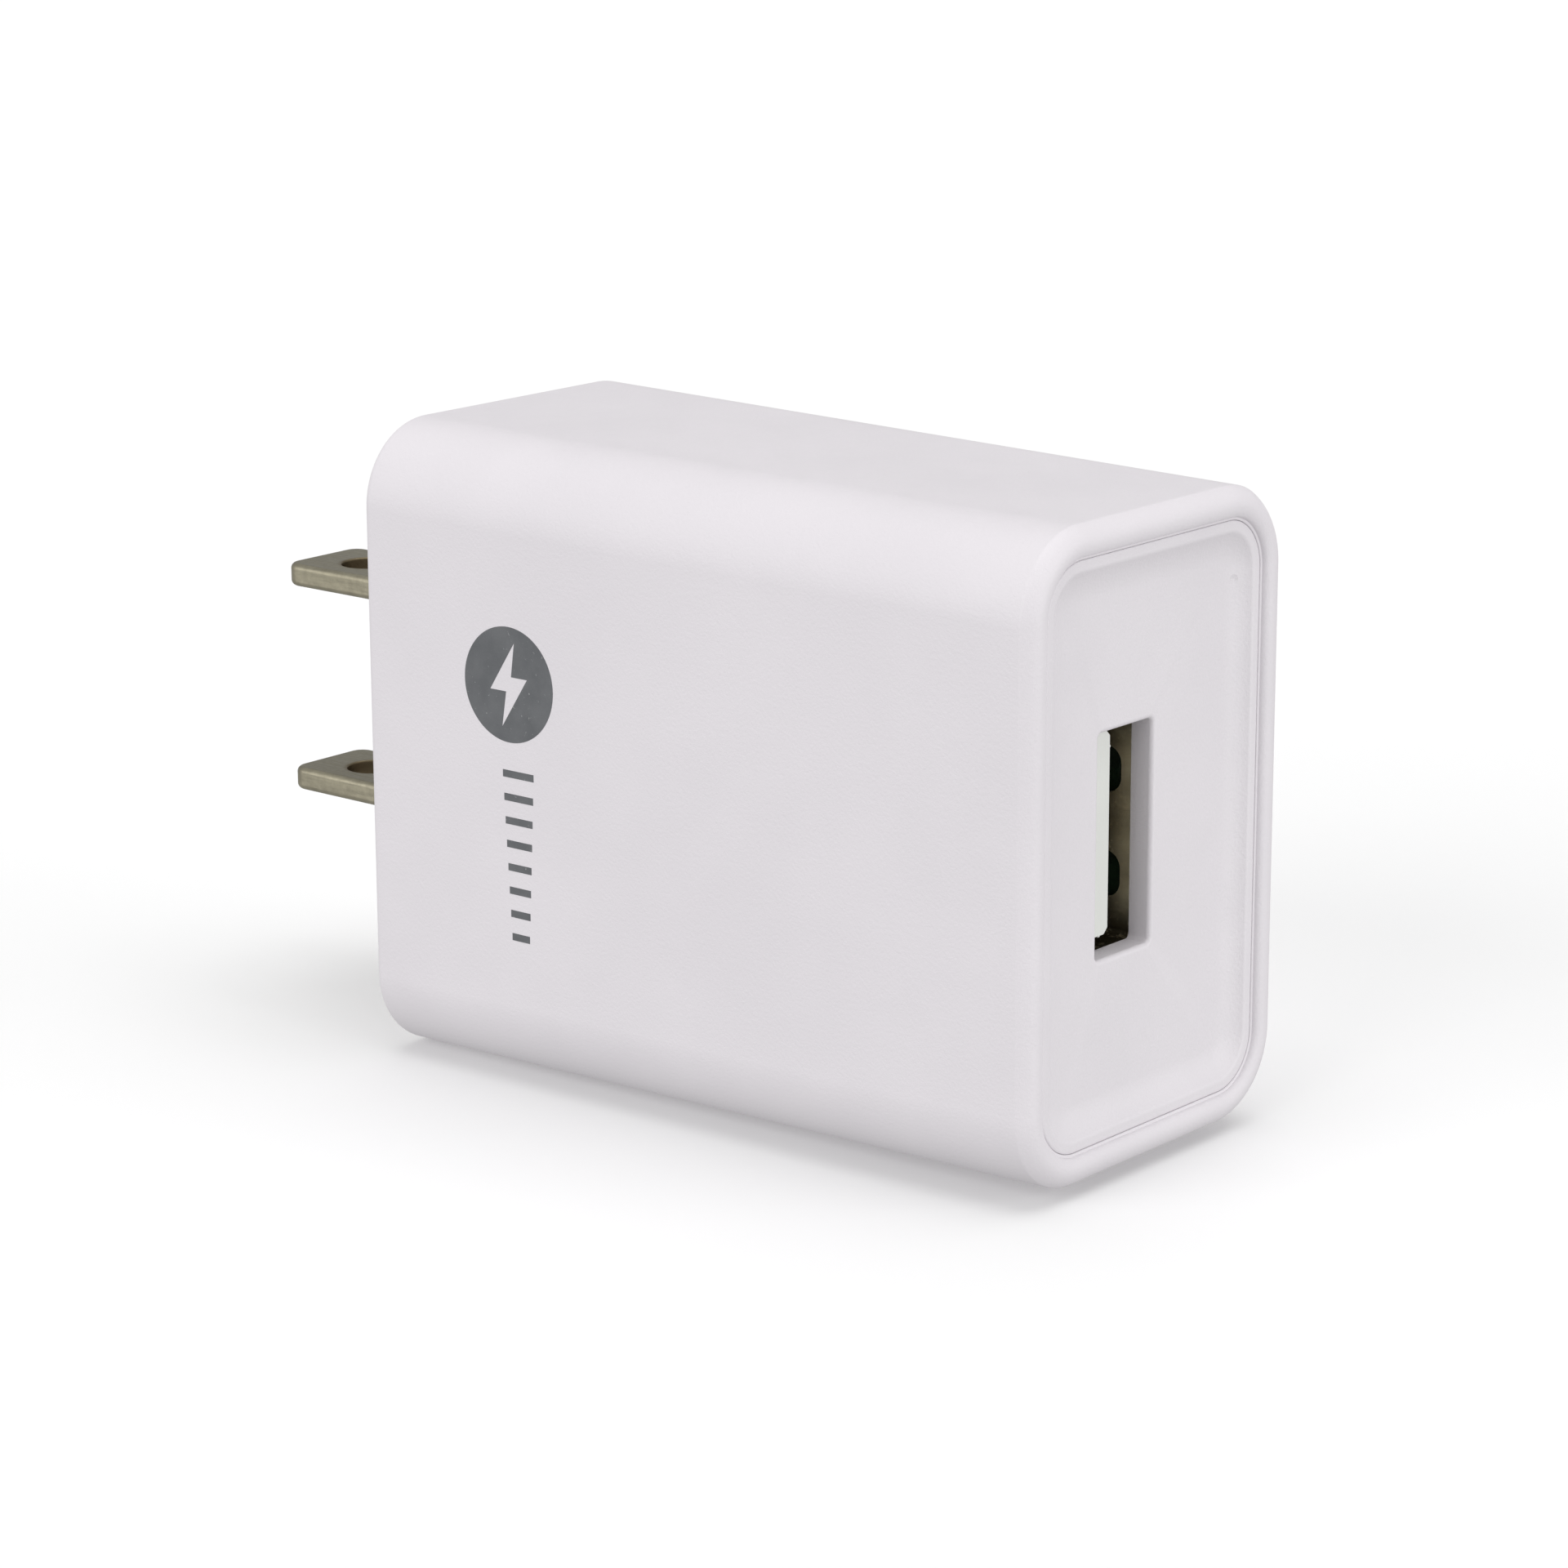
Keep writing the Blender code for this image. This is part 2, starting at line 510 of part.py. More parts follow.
def make_usb_port():
    half_width, half_height = SHELL_INNER[0] / 2, SHELL_INNER[1] / 2
    outer = (half_width + SHELL_SHEET, half_height + SHELL_SHEET)
    rings = [rounded_ring(half_width, half_height, SHELL_CORNER[0], SHELL_REAR_Y, PORT_X),
             rounded_ring(half_width, half_height, SHELL_CORNER[0], SHELL_FRONT_Y, PORT_X),
             rounded_ring(*outer, SHELL_CORNER[1], SHELL_FRONT_Y, PORT_X),
             rounded_ring(*outer, SHELL_CORNER[1], SHELL_REAR_Y, PORT_X)]

    def build(work):
        rows = [[work.verts.new(point) for point in ring] for ring in rings]
        for first, second in zip(rows, rows[1:] + rows[:1]):
            for k, corner in enumerate(first):
                after = (k + 1) % len(first)
                work.faces.new((corner, first[after], second[after], second[k]))

    shell = add_object("usb_shell", mesh_from(build, "usb_shell"), "shell_metal")
    for name, z in (("upper", SPRING_Z), ("lower", -SPRING_Z)):
        slit = plate(f"leaf_slit_{name}", [leaf_slit(z)], "YZ", PORT_X - SHELL_INNER[0],
                     PORT_X + SHELL_INNER[0])
        subtract(shell, slit)

    # the tongue and the block behind it are one moulding
    tongue_half, tongue_reach = TONGUE_SIZE[0] / 2, TONGUE_SIZE[1] / 2
    tongue = box("usb_tongue", (TONGUE_X - tongue_half, TONGUE_FRONT_Y, TONGUE_Z - tongue_reach),
                 (TONGUE_X + tongue_half, SHELL_REAR_Y - SMALL_GAP, TONGUE_Z + tongue_reach),
                 "port_plastic", bevel=TONGUE_EDGE)
    block = box("tongue_block",
                (PORT_X - half_width + SMALL_GAP, SHELL_FRONT_Y + PLUG_DEPTH, -half_height + SMALL_GAP),
                (PORT_X + half_width - SMALL_GAP, SHELL_REAR_Y + 2 * SMALL_GAP, half_height - SMALL_GAP))
    unite(tongue, block)

    # contact strips lie over shallow grooves in the tongue and pass through the block
    face_x = TONGUE_X + tongue_half
    front_y = TONGUE_FRONT_Y + CONTACT_INSET
    for name, z in CONTACT_Z.items():
        low, high = TONGUE_Z + z - CONTACT_WIDTH / 2, TONGUE_Z + z + CONTACT_WIDTH / 2
        groove = box(name + "_groove", (face_x - CONTACT_GROOVE, front_y - SMALL_GAP, low - SMALL_GAP),
                     (face_x + CONTACT_SHEET + SMALL_GAP, SHELL_REAR_Y + SHELL_LENGTH, high + SMALL_GAP))
        subtract(tongue, groove)
        box(name, (face_x, front_y, low), (face_x + CONTACT_SHEET, SHELL_REAR_Y + CONTACT_TAIL, high),
            "contact_gold")


def core_outline(sign):
    """Half of an E-shaped core in the YZ plane. sign is 1 for the half above the middle."""
    bar = sign * (CORE_HALF_HEIGHT - CORE_BAR)
    foot, top = sign * GAP / 2, sign * CORE_HALF_HEIGHT
    wide, leg = CORE_HALF_WIDTH, CORE_HALF_WIDTH - CORE_BAR
    shape = [(-wide, foot), (-wide, top), (wide, top), (wide, foot), (leg, foot), (leg, bar),
             (CORE_CENTRE_LEG, bar), (CORE_CENTRE_LEG, foot), (-CORE_CENTRE_LEG, foot),
             (-CORE_CENTRE_LEG, bar), (-leg, bar), (-leg, foot)]
    return [(CORE_Y + y, z) for y, z in shape]


def sleeve_ring(name, inner, wall, half_length, material):
    """A rectangular tube around the transformer's centre leg. inner is its half size in X and Y."""
    outer = box(name, (CORE_X - inner[0] - wall, CORE_Y - inner[1] - wall, -half_length),
                (CORE_X + inner[0] + wall, CORE_Y + inner[1] + wall, half_length), material)
    hollow = box(name + "_hollow", (CORE_X - inner[0], CORE_Y - inner[1], -2 * half_length),
                 (CORE_X + inner[0], CORE_Y + inner[1], 2 * half_length))
    return outer, hollow


def make_transformer():
    thickness = (CORE_X - CORE_HALF_THICKNESS, CORE_X + CORE_HALF_THICKNESS)
    plate("transformer_core_upper", [core_outline(1)], "YZ", *thickness, "ferrite")
    plate("transformer_core_lower", [core_outline(-1)], "YZ", *thickness, "ferrite")

    # bobbin: a tube round the centre leg with a flange at each end
    inner = (CORE_HALF_THICKNESS + GAP, CORE_CENTRE_LEG + GAP)
    flange_top = CORE_HALF_HEIGHT - CORE_BAR - GAP
    flange_foot = flange_top - BOBBIN_FLANGE
    reach = CORE_HALF_WIDTH - CORE_BAR - GAP
    bobbin, hollow = sleeve_ring("transformer_bobbin", inner, BOBBIN_WALL, flange_top, "bobbin_plastic")
    for end, sign in (("upper", 1), ("lower", -1)):
        low_z, high_z = sorted((sign * flange_foot, sign * flange_top))
        flange = box(f"bobbin_flange_{end}", (CORE_X - WINDING_HALF_DEPTH, CORE_Y - reach, low_z),
                     (CORE_X + WINDING_HALF_DEPTH, CORE_Y + reach, high_z))
        unite(bobbin, flange)
    subtract(bobbin, hollow)

    # windings and the tape round them, one over the other
    half_length = flange_foot - GAP
    layer = tuple(side + BOBBIN_WALL + SMALL_GAP for side in inner)
    for name, thick, material in (("primary_winding", WINDING_THICKNESS, "copper_wire"),
                                  ("secondary_winding", WINDING_THICKNESS, "copper_wire"),
                                  ("winding_tape", TAPE_THICKNESS, "yellow_tape")):
        winding, hollow = sleeve_ring(name, layer, thick, half_length, material)
        subtract(winding, hollow)
        layer = tuple(side + thick + SMALL_GAP for side in layer)


def make_capacitor(name, centre, axis, radius, length):
    """A can with a rounded top and a crimp groove near its foot. The axis points to its top."""
    half = length / 2
    groove_z = GROOVE_HEIGHT - half
    profile = [(0.0, half)]
    profile += [(radius - CAN_EDGE * (1 - math.sin(a)), half - CAN_EDGE * (1 - math.cos(a)))
                for a in quarter_steps(3)]
    profile += [(radius, groove_z + GROOVE_HALF_WIDTH), (radius - GROOVE_DEPTH, groove_z),
                (radius, groove_z - GROOVE_HALF_WIDTH), (radius, CAN_FOOT - half),
                (radius - CAN_FOOT, -half), (0.0, -half)]
    turned(name, profile, centre, axis, "can_metal", 28)


def make_sleeve(name, centre, axis, radius, length):
    """The thin sleeve round a can, open at both ends."""
    inner = radius + SLEEVE_CLEARANCE
    outer, top, foot = inner + SLEEVE_WALL, length / 2 - GAP, SLEEVE_CLEARANCE - length / 2
    turned(name, [(outer, top), (outer, foot), (inner, foot), (inner, top), (outer, top)],
           centre, axis, "black_sleeve", 28)


def make_capacitors():
    # smoothing capacitors for the rectified mains, lying across the board
    radius, length = INPUT_CAPACITOR_SIZE
    y, z = INPUT_CAPACITOR_PLACE
    for name, sign in (("input_capacitor_1", 1), ("input_capacitor_2", -1)):
        place = ((PART_SIDE_X - radius - GAP, y, sign * z), (0, 0, sign), radius, length)
        make_capacitor(name, *place)
        make_sleeve(name + "_sleeve", *place)

    # output capacitors beside the port, the second one a bare can
    radius = OUTPUT_CAPACITOR_RADIUS
    (y, z), (bare_y, bare_z) = OUTPUT_CAPACITOR_PLACES
    length, bare_length = OUTPUT_CAPACITOR_LENGTHS
    place = ((PART_SIDE_X - radius - GAP, y, z), (0, 1, 0), radius, length)
    make_capacitor("output_capacitor_1", *place)
    make_sleeve("output_capacitor_1_sleeve", *place)
    make_capacitor("output_capacitor_2", (PART_SIDE_X - radius, bare_y, bare_z), (0, 1, 0), radius,
                   bare_length)


def make_choke():
    """The filter choke: a drum core with its winding, standing on the board."""
    centre = (PART_SIDE_X - CHOKE_HALF_HEIGHT, *CHOKE_PLACE)
    top, inner = CHOKE_HALF_HEIGHT, CHOKE_HALF_HEIGHT - CHOKE_FLANGE
    rim = [(CHOKE_RADIUS - CHOKE_EDGE, top), (CHOKE_RADIUS, top - CHOKE_EDGE),
           (CHOKE_RADIUS, inner + CHOKE_EDGE), (CHOKE_RADIUS - CHOKE_EDGE, inner)]
    upper = [(0.0, top)] + rim + [(CHOKE_WAIST, inner)]
    lower = [(radius, -height) for radius, height in reversed(upper)]
    turned("choke_core", upper + lower, centre, (-1, 0, 0), "ferrite", 28)
    wound, bare, end = CHOKE_RADIUS - GAP, CHOKE_WAIST + SMALL_GAP, inner - GAP
    turned("choke_winding", [(wound, end), (wound, -end), (bare, -end), (bare, end), (wound, end)],
           centre, (-1, 0, 0), "copper_wire", 28)


def make_fusible_resistor():
    """A body with fatter ends that stands on the board, its far lead folded back beside it."""
    centre = Vector((PART_SIDE_X - RESISTOR_HALF_LENGTH - 0.7 * MM, *RESISTOR_PLACE))
    end = RESISTOR_HALF_LENGTH
    upper = [(0.0, end), (1.2 * MM, end), (1.6 * MM, end - 0.3 * MM), (1.7 * MM, end - 1.0 * MM),
             (1.5 * MM, end - 1.8 * MM)]
    lower = [(radius, -height) for radius, height in reversed(upper)]
    turned("fusible_resistor", upper + lower, centre, (-1, 0, 0), "resistor_body", 24)
    near, far = end + SMALL_GAP, -end - GAP
    foot = PART_SIDE_X - centre.x
    wire("fusible_resistor_lead_1", [centre + Vector((near, 0, 0)), centre + Vector((foot, 0, 0))],
         LEAD_RADIUS, "lead_metal")
    fold = [centre + Vector((far, 0, 0)), centre + Vector((far - 0.2 * MM, -0.9 * MM, 0)),
            centre + Vector((far + 0.1 * MM, -2.3 * MM, 0)), centre + Vector((foot, -2.6 * MM, 0))]
    wire("fusible_resistor_lead_2", fold, LEAD_RADIUS, "lead_metal")


def make_safety_capacitor():
    """A dipped disc standing on two leads."""
    radius, half = SAFETY_CAPACITOR_SIZE
    centre = Vector((PART_SIDE_X - radius - 1.0 * MM, *SAFETY_CAPACITOR_PLACE))
    upper = [(0.0, half)]
    upper += [(radius * (0.6 + 0.4 * math.sin(a)), half * math.cos(a)) for a in quarter_steps()]
    lower = [(ring, -height) for ring, height in reversed(upper[:-1])]
    turned("safety_capacitor", upper + lower, centre, (0, 0, 1), "blue_ceramic", 28)
    for number, offset in ((1, LEAD_SPACING), (2, -LEAD_SPACING)):
        start = centre + Vector((radius + GAP, offset, 0))
        end = Vector((PART_SIDE_X - 0.1 * MM, start.y, start.z))
        wire(f"safety_capacitor_lead_{number}", [start, end], LEAD_RADIUS, "lead_metal")


def make_chip(name, place, size, leads, material="chip_plastic"):
    """A moulded chip on the board's +X side. leads are per long side, and join the body."""
    x, (y, z) = CHIP_SIDE_X, place
    depth, width, height = size
    chip = box(name, (x, y - width / 2, z - height / 2), (x + depth, y + width / 2, z + height / 2),
               material, bevel=CHIP_EDGE, segments=1)
    reach = height / 2 + CHIP_LEAD_REACH
    lead_x = x + depth / 4
    for k in range(leads):
        lead_y = y + width * ((k + 0.5) / leads - 0.5)
        lead = box(f"{name}_lead_{k + 1}", (lead_x, lead_y - CHIP_LEAD_WIDTH / 2, z - reach),
                   (lead_x + CHIP_LEAD_THICKNESS, lead_y + CHIP_LEAD_WIDTH / 2, z + reach))
        unite(chip, lead)


def make_chips():
    for name, (place, size, leads) in CHIPS.items():
        make_chip(name, place, size, leads)
    for number, (y, z) in enumerate(CHIP_RESISTOR_PLACES, 1):
        make_chip(f"chip_resistor_{number}", (y * MM, z * MM), CHIP_RESISTOR_SIZE, 0)
    for number, (y, z) in enumerate(CHIP_CAPACITOR_PLACES, 1):
        make_chip(f"chip_capacitor_{number}", (y * MM, z * MM), CHIP_CAPACITOR_SIZE, 0, "chip_ceramic")


def main():
    clear_scene()
    make_materials()
    make_housing()
    make_front_cover()
    make_blades()
    make_blade_wires()
    make_board()
    make_usb_port()
    make_transformer()
    make_capacitors()
    make_choke()
    make_fusible_resistor()
    make_safety_capacitor()
    make_chips()


main()
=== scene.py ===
import json
import math

import bmesh
import bpy
from mathutils import Matrix, Vector


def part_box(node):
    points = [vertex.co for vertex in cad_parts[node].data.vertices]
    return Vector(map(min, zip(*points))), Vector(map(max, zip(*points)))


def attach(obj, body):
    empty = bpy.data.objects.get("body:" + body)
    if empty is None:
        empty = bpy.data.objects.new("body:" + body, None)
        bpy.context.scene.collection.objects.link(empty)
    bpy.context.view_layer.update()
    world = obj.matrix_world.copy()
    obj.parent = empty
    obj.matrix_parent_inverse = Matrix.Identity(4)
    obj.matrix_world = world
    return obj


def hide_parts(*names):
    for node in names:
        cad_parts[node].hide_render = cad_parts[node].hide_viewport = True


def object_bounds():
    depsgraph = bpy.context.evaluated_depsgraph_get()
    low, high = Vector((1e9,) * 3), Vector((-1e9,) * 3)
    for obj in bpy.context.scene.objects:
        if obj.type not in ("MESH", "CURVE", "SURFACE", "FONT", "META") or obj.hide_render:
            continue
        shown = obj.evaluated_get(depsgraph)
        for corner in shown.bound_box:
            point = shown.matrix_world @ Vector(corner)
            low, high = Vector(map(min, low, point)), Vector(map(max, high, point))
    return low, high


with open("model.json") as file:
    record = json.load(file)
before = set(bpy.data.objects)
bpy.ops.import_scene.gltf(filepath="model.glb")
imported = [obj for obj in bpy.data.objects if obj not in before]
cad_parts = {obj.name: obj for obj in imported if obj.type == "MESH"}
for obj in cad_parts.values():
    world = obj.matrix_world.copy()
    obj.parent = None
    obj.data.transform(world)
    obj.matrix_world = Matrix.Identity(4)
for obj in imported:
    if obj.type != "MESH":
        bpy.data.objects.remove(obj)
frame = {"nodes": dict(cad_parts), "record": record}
cad_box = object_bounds()

MM = 0.001

# Body, from the frame where the frame says it
housing_low, housing_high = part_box("housing")
BODY_DEPTH = -housing_low.y
FRONT_Y = housing_low.y
SIDE_TAPER = 0.7 * MM            # each side comes in this much from the wall face to the front rim
CORNER_RADIUS = 4.8 * MM
LEAST_CORNER = 0.8 * MM          # corners further in are never rounded less than this
REAR_FILLET = 0.6 * MM
REAR_WALL = 2.4 * MM             # the wall that the blades come through
SHELL_WALL = 2.4 * MM            # the side walls behind the cover
# the body is widest where the rear edge's rounding ends, a little narrower than its sides' line at y = 0
REAR_HALF = tuple(side + SIDE_TAPER * REAR_FILLET / BODY_DEPTH for side in (housing_high.x, housing_high.z))
RIM_CREST = 1.05 * MM            # outer side to the rim's foremost line
RIM_OUTER_DROP = 0.75 * MM
RIM_START = math.radians(38)     # the rim's rounding meets the sides at this angle, as a faint crease
RIM_CREASE = 0.05 * MM           # the straight side ends this far behind the start of the rounding
RIM_INNER = 1.70 * MM
RIM_INNER_DROP = 0.38 * MM
RIM_EDGE = 0.16 * MM
RECESS_DEPTH = 5.9 * MM

# Front cover
SEAM = 0.015 * MM                # gap between the cover and the pieces next to it
COVER_DROP = 0.40 * MM
COVER_EDGE = 0.16 * MM
GROOVE = 0.08 * MM               # how deep the rounded edges run down to the seam
BORDER_INSET = 2.35 * MM         # outer side to where the ridge starts to fall
RIDGE_RADIUS = 0.40 * MM
PANEL_FILLET = 2.85 * MM
SLOPE = math.radians(37)         # the steepest angle between the ridge and the panel
PANEL_Y = FRONT_Y + COVER_DROP + (RIDGE_RADIUS + PANEL_FILLET) * (1 - math.cos(SLOPE))
PANEL_PLATE = 1.4 * MM
COVER_BACK_Y = PANEL_Y + PANEL_PLATE
SKIRT_WALL = 1.2 * MM
COVER_GATE = (7.83, 0, 12.47)    # a small dimple in the panel, in millimetres

# USB port
shell_low, shell_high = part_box("usb_shell")
tongue_low, tongue_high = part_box("usb_tongue")
PORT_X = (shell_low.x + shell_high.x) / 2
SHELL_SHEET = 0.3 * MM
SHELL_INNER = (shell_high.x - PORT_X - SHELL_SHEET, shell_high.z - SHELL_SHEET)
SHELL_CORNER = 0.4 * MM
SHELL_LIP = 0.1 * MM             # the mouth's inner edge is bevelled by this much
SLOT_HALF = (2.4 * MM, 6.175 * MM)
SLOT_EDGE = 0.28 * MM
SLOT_CORNER = 0.30 * MM
WINDOW_Z = 2.9 * MM
WINDOW_START = 0.75 * MM         # the cover's back to the window's rounded end
WINDOW_LENGTH = 7.0 * MM
WINDOW_HALF = 1.275 * MM
WINDOW_RADIUS = 0.9 * MM
LEAF_START = 1.8 * MM            # the window's rounded end to the leaf's tip
LEAF_HALF = 0.75 * MM
TONGUE_HALF = 5.6 * MM
TONGUE_THICKNESS = 1.8 * MM
TONGUE_REAR = 1.0 * MM           # the moulding stops this far before the tongue's rear end
TONGUE_CHAMFER = 0.34 * MM
TONGUE_EDGE = 0.06 * MM
TONGUE_EDGE_SEGMENTS = 2
GATE_RADIUS = 0.11 * MM
GATE_INSIDE = 0.02 * MM          # a gate mark's centre to the edge that it sits on
GATE_DEPTH = 0.1 * MM            # a gate mark's centre to the end face
SIDE_GATE = 0.95 * MM            # the first mark's distance below the tongue's top
BOTTOM_GATE = 0.75 * MM          # the second mark's distance from the contacts' face
BLOCK_START = 12.0 * MM          # the tongue's end face to the block behind it
BLOCK_FIT = 0.05 * MM
BLOCK_EDGE = 0.15 * MM
CONTACTS = ("usb_contact_power", "usb_contact_data_minus", "usb_contact_data_plus",
            "usb_contact_ground")
CONTACT_BOW = 0.12 * MM
CONTACT_SINK = 0.1 * MM          # a strip lies this much deeper than in the CAD, where it isn't bowed
CONTACT_EDGE = 0.06 * MM
CONTACT_STEPS = 24
CONTACT_GROOVE = 0.15 * MM
CONTACT_FIT = 0.05 * MM
CONTACT_CLEAR = 1.0 * MM         # the groove's cutter stands out this far in front of the tongue

# Blades
BLADES = ("blade_upper", "blade_lower")
BLADE_ROOT_Y = -2 * REAR_WALL    # where the blades end, inside the body
BLADE_EDGE = 0.34 * MM
BLADE_TIP_RADIUS = 1.0 * MM
BLADE_HOLE_RADIUS = 1.6 * MM
BLADE_HOLE_Y = 11.9 * MM
HOLE_EDGE = 0.12 * MM
BLADE_FIT = 0.03 * MM

# Print on the left side, placed along -Y from the wall face and along Z
MARK_CENTRE = (11.0 * MM, 5.1 * MM)
MARK_RADIUS = 3.3 * MM
# the bolt's corners, as shares of the disc's radius
BOLT = ((0.14, 0.74), (-0.42, -0.12), (-0.06, -0.12), (-0.16, -0.74), (0.42, 0.14), (0.06, 0.14))
BAR_COUNT = 8
BAR_MIDDLE = 11.6 * MM
BAR_TOP = 0.2 * MM
BAR_PITCH = 1.35 * MM
BAR_THICKNESS = 0.42 * MM
BAR_HALF = 1.15 * MM
BAR_SHRINK = 0.07 * MM           # each bar's half is this much shorter than that of the bar above
INK_TOP = 0.012 * MM
INK_BOTTOM = -0.004 * MM         # the print starts just below the surface

# Fineness of the meshes
CORNER_STEPS = 20
ARC_STEPS = 12
RIM_STEPS = 16
EDGE_STEPS = 8
FINE_STEPS = 5
HOLE_STEPS = 64
MARK_STEPS = 96
BLOCK_SEGMENTS = 3
MERGE_DISTANCE = 0.001 * MM
FLAT_ANGLE = math.radians(0.5)   # corners of an outline that turn less than this are dropped
SHARP_ANGLE = math.radians(30)   # edges that turn more than this are shaded as edges

# Floor, light and camera
FLOOR_HALF = 4.0                 # metres
FLOOR_CELLS = 40
FLOOR_GAP = 0.02 * MM
WORLD_STRENGTH = 0.44
LIGHT_ANGLE = math.radians(60)
# each light's name, the direction it comes from, its strength and whether reflections show it
LIGHTS = (("front", (0.26, -0.963, 0.05), 1.60, True),
          ("top", (0.082, -0.041, 0.996), 1.18, True),
          ("left", (-0.955, 0.17, 0.25), 1.70, True),
          ("back", (0.75, 0.66, 0.0), 0.90, False))
CAMERA_AZIMUTH = math.radians(-49.87)
CAMERA_ELEVATION = math.radians(14.58)
CAMERA_ROLL = math.radians(-0.23)
CAMERA_DISTANCE = 257.46 * MM
CAMERA_AIM = (-1.91 * MM, -0.91 * MM)
CAMERA_LENS = 105.52             # millimetres, as is the sensor's width
CAMERA_SENSOR = 36.0
CAMERA_CLIP = 0.01               # metres


# ---------------------------------------------------------------- materials

class Finish:
    """A material's nodes. Textures read the object's own coordinates, in millimetres."""

    def __init__(self, name):
        self.material = bpy.data.materials.new(name)
        self.material.use_nodes = True
        self.tree = self.material.node_tree
        self.shader = self.tree.nodes["Principled BSDF"]
        place = self.tree.nodes.new("ShaderNodeTexCoord")
        scale = self.tree.nodes.new("ShaderNodeVectorMath")
        scale.operation = "SCALE"
        scale.inputs["Scale"].default_value = 1 / MM
        self.tree.links.new(place.outputs["Object"], scale.inputs[0])
        self.place = scale.outputs[0]
        self.height = None

    def set(self, **values):
        """Sets the shader's own sockets, written with _ for a space."""
        for name, value in values.items():
            socket = name.replace("_", " ").title().replace("Ior", "IOR")
            self.shader.inputs[socket].default_value = value

    def stretched(self, stretch):
        """The coordinates, with each axis multiplied by its own factor."""
        node = self.tree.nodes.new("ShaderNodeVectorMath")
        node.operation = "MULTIPLY"
        node.inputs[1].default_value = stretch
        self.tree.links.new(self.place, node.inputs[0])
        return node.outputs[0]

    def noise(self, per_mm, detail=2.0, roughness=0.5, stretch=None):
        """Noise with per_mm features to the millimetre."""
        node = self.tree.nodes.new("ShaderNodeTexNoise")
        node.inputs["Scale"].default_value = per_mm
        node.inputs["Detail"].default_value = detail
        node.inputs["Roughness"].default_value = roughness
        self.tree.links.new(self.stretched(stretch) if stretch else self.place, node.inputs["Vector"])
        return node.outputs["Fac"]

    def cells(self, per_mm, stretch=None):
        """The distance to the nearest of scattered points."""
        node = self.tree.nodes.new("ShaderNodeTexVoronoi")
        node.inputs["Scale"].default_value = per_mm
        self.tree.links.new(self.stretched(stretch) if stretch else self.place, node.inputs["Vector"])
        return node.outputs["Distance"]

    def coordinate(self, axis):
        """One coordinate, in millimetres."""
        node = self.tree.nodes.new("ShaderNodeSeparateXYZ")
        self.tree.links.new(self.place, node.inputs[0])
        return node.outputs[axis]

    def combine(self, operation, first, second=0.0):
        """The operation's result on two values, each a number or another node's output."""
        node = self.tree.nodes.new("ShaderNodeMath")
        node.operation = operation
        for socket, value in zip(node.inputs, (first, second)):
            if isinstance(value, (int, float)):
                socket.default_value = value
            else:
                self.tree.links.new(value, socket)
        return node.outputs[0]

    def distance(self, centre, flatten):
        """The distance from a line through centre, along the axis that flatten has at 0."""
        offset = self.tree.nodes.new("ShaderNodeVectorMath")
        offset.operation = "SUBTRACT"
        offset.inputs[1].default_value = centre
        self.tree.links.new(self.place, offset.inputs[0])
        flat = self.tree.nodes.new("ShaderNodeVectorMath")
        flat.operation = "MULTIPLY"
        flat.inputs[1].default_value = flatten
        self.tree.links.new(offset.outputs[0], flat.inputs[0])
        length = self.tree.nodes.new("ShaderNodeVectorMath")
        length.operation = "LENGTH"
        self.tree.links.new(flat.outputs[0], length.inputs[0])
        return length.outputs["Value"]

    def bands(self, per_mm, axis, distortion=0.0):
        """Even ridges across an axis."""
        node = self.tree.nodes.new("ShaderNodeTexWave")
        node.wave_type = "BANDS"
        node.bands_direction = axis
        node.wave_profile = "SIN"
        node.inputs["Scale"].default_value = per_mm * math.pi / 10
        node.inputs["Distortion"].default_value = distortion
        self.tree.links.new(self.place, node.inputs["Vector"])
        return node.outputs["Fac"]

    def spread(self, value, from_low, from_high, low, high):
        """value, with the part between from_low and from_high mapped to low and high."""
        node = self.tree.nodes.new("ShaderNodeMapRange")
        for name, number in (("From Min", from_low), ("From Max", from_high), ("To Min", low),
                             ("To Max", high)):
            node.inputs[name].default_value = number
        self.tree.links.new(value, node.inputs["Value"])
        return node.outputs["Result"]

    def blend(self, share, first, second):
        """A colour between first and second, each a colour or another node's output."""
        node = self.tree.nodes.new("ShaderNodeMix")
        node.data_type = "RGBA"
        self.tree.links.new(share, node.inputs["Factor"])
        for socket, colour in ((node.inputs[6], first), (node.inputs[7], second)):
            if isinstance(colour, tuple):
                socket.default_value = (*colour, 1.0)
            else:
                self.tree.links.new(colour, socket)
        return node.outputs[2]

    def edges(self, radius):
        """Near 1 on an edge that stands out and 0 on flat faces, about radius wide."""
        bevel = self.tree.nodes.new("ShaderNodeBevel")
        bevel.samples = 4
        bevel.inputs["Radius"].default_value = radius
        geometry = self.tree.nodes.new("ShaderNodeNewGeometry")
        dot = self.tree.nodes.new("ShaderNodeVectorMath")
        dot.operation = "DOT_PRODUCT"
        self.tree.links.new(bevel.outputs["Normal"], dot.inputs[0])
        self.tree.links.new(geometry.outputs["True Normal"], dot.inputs[1])
        return self.spread(dot.outputs["Value"], 0.995, 0.9, 0.0, 1.0)

    def colour(self, output):
        """Gives the surface its colour."""
        self.tree.links.new(output, self.shader.inputs["Base Color"])

    def roughness(self, output):
        """Gives the surface its roughness."""
        self.tree.links.new(output, self.shader.inputs["Roughness"])

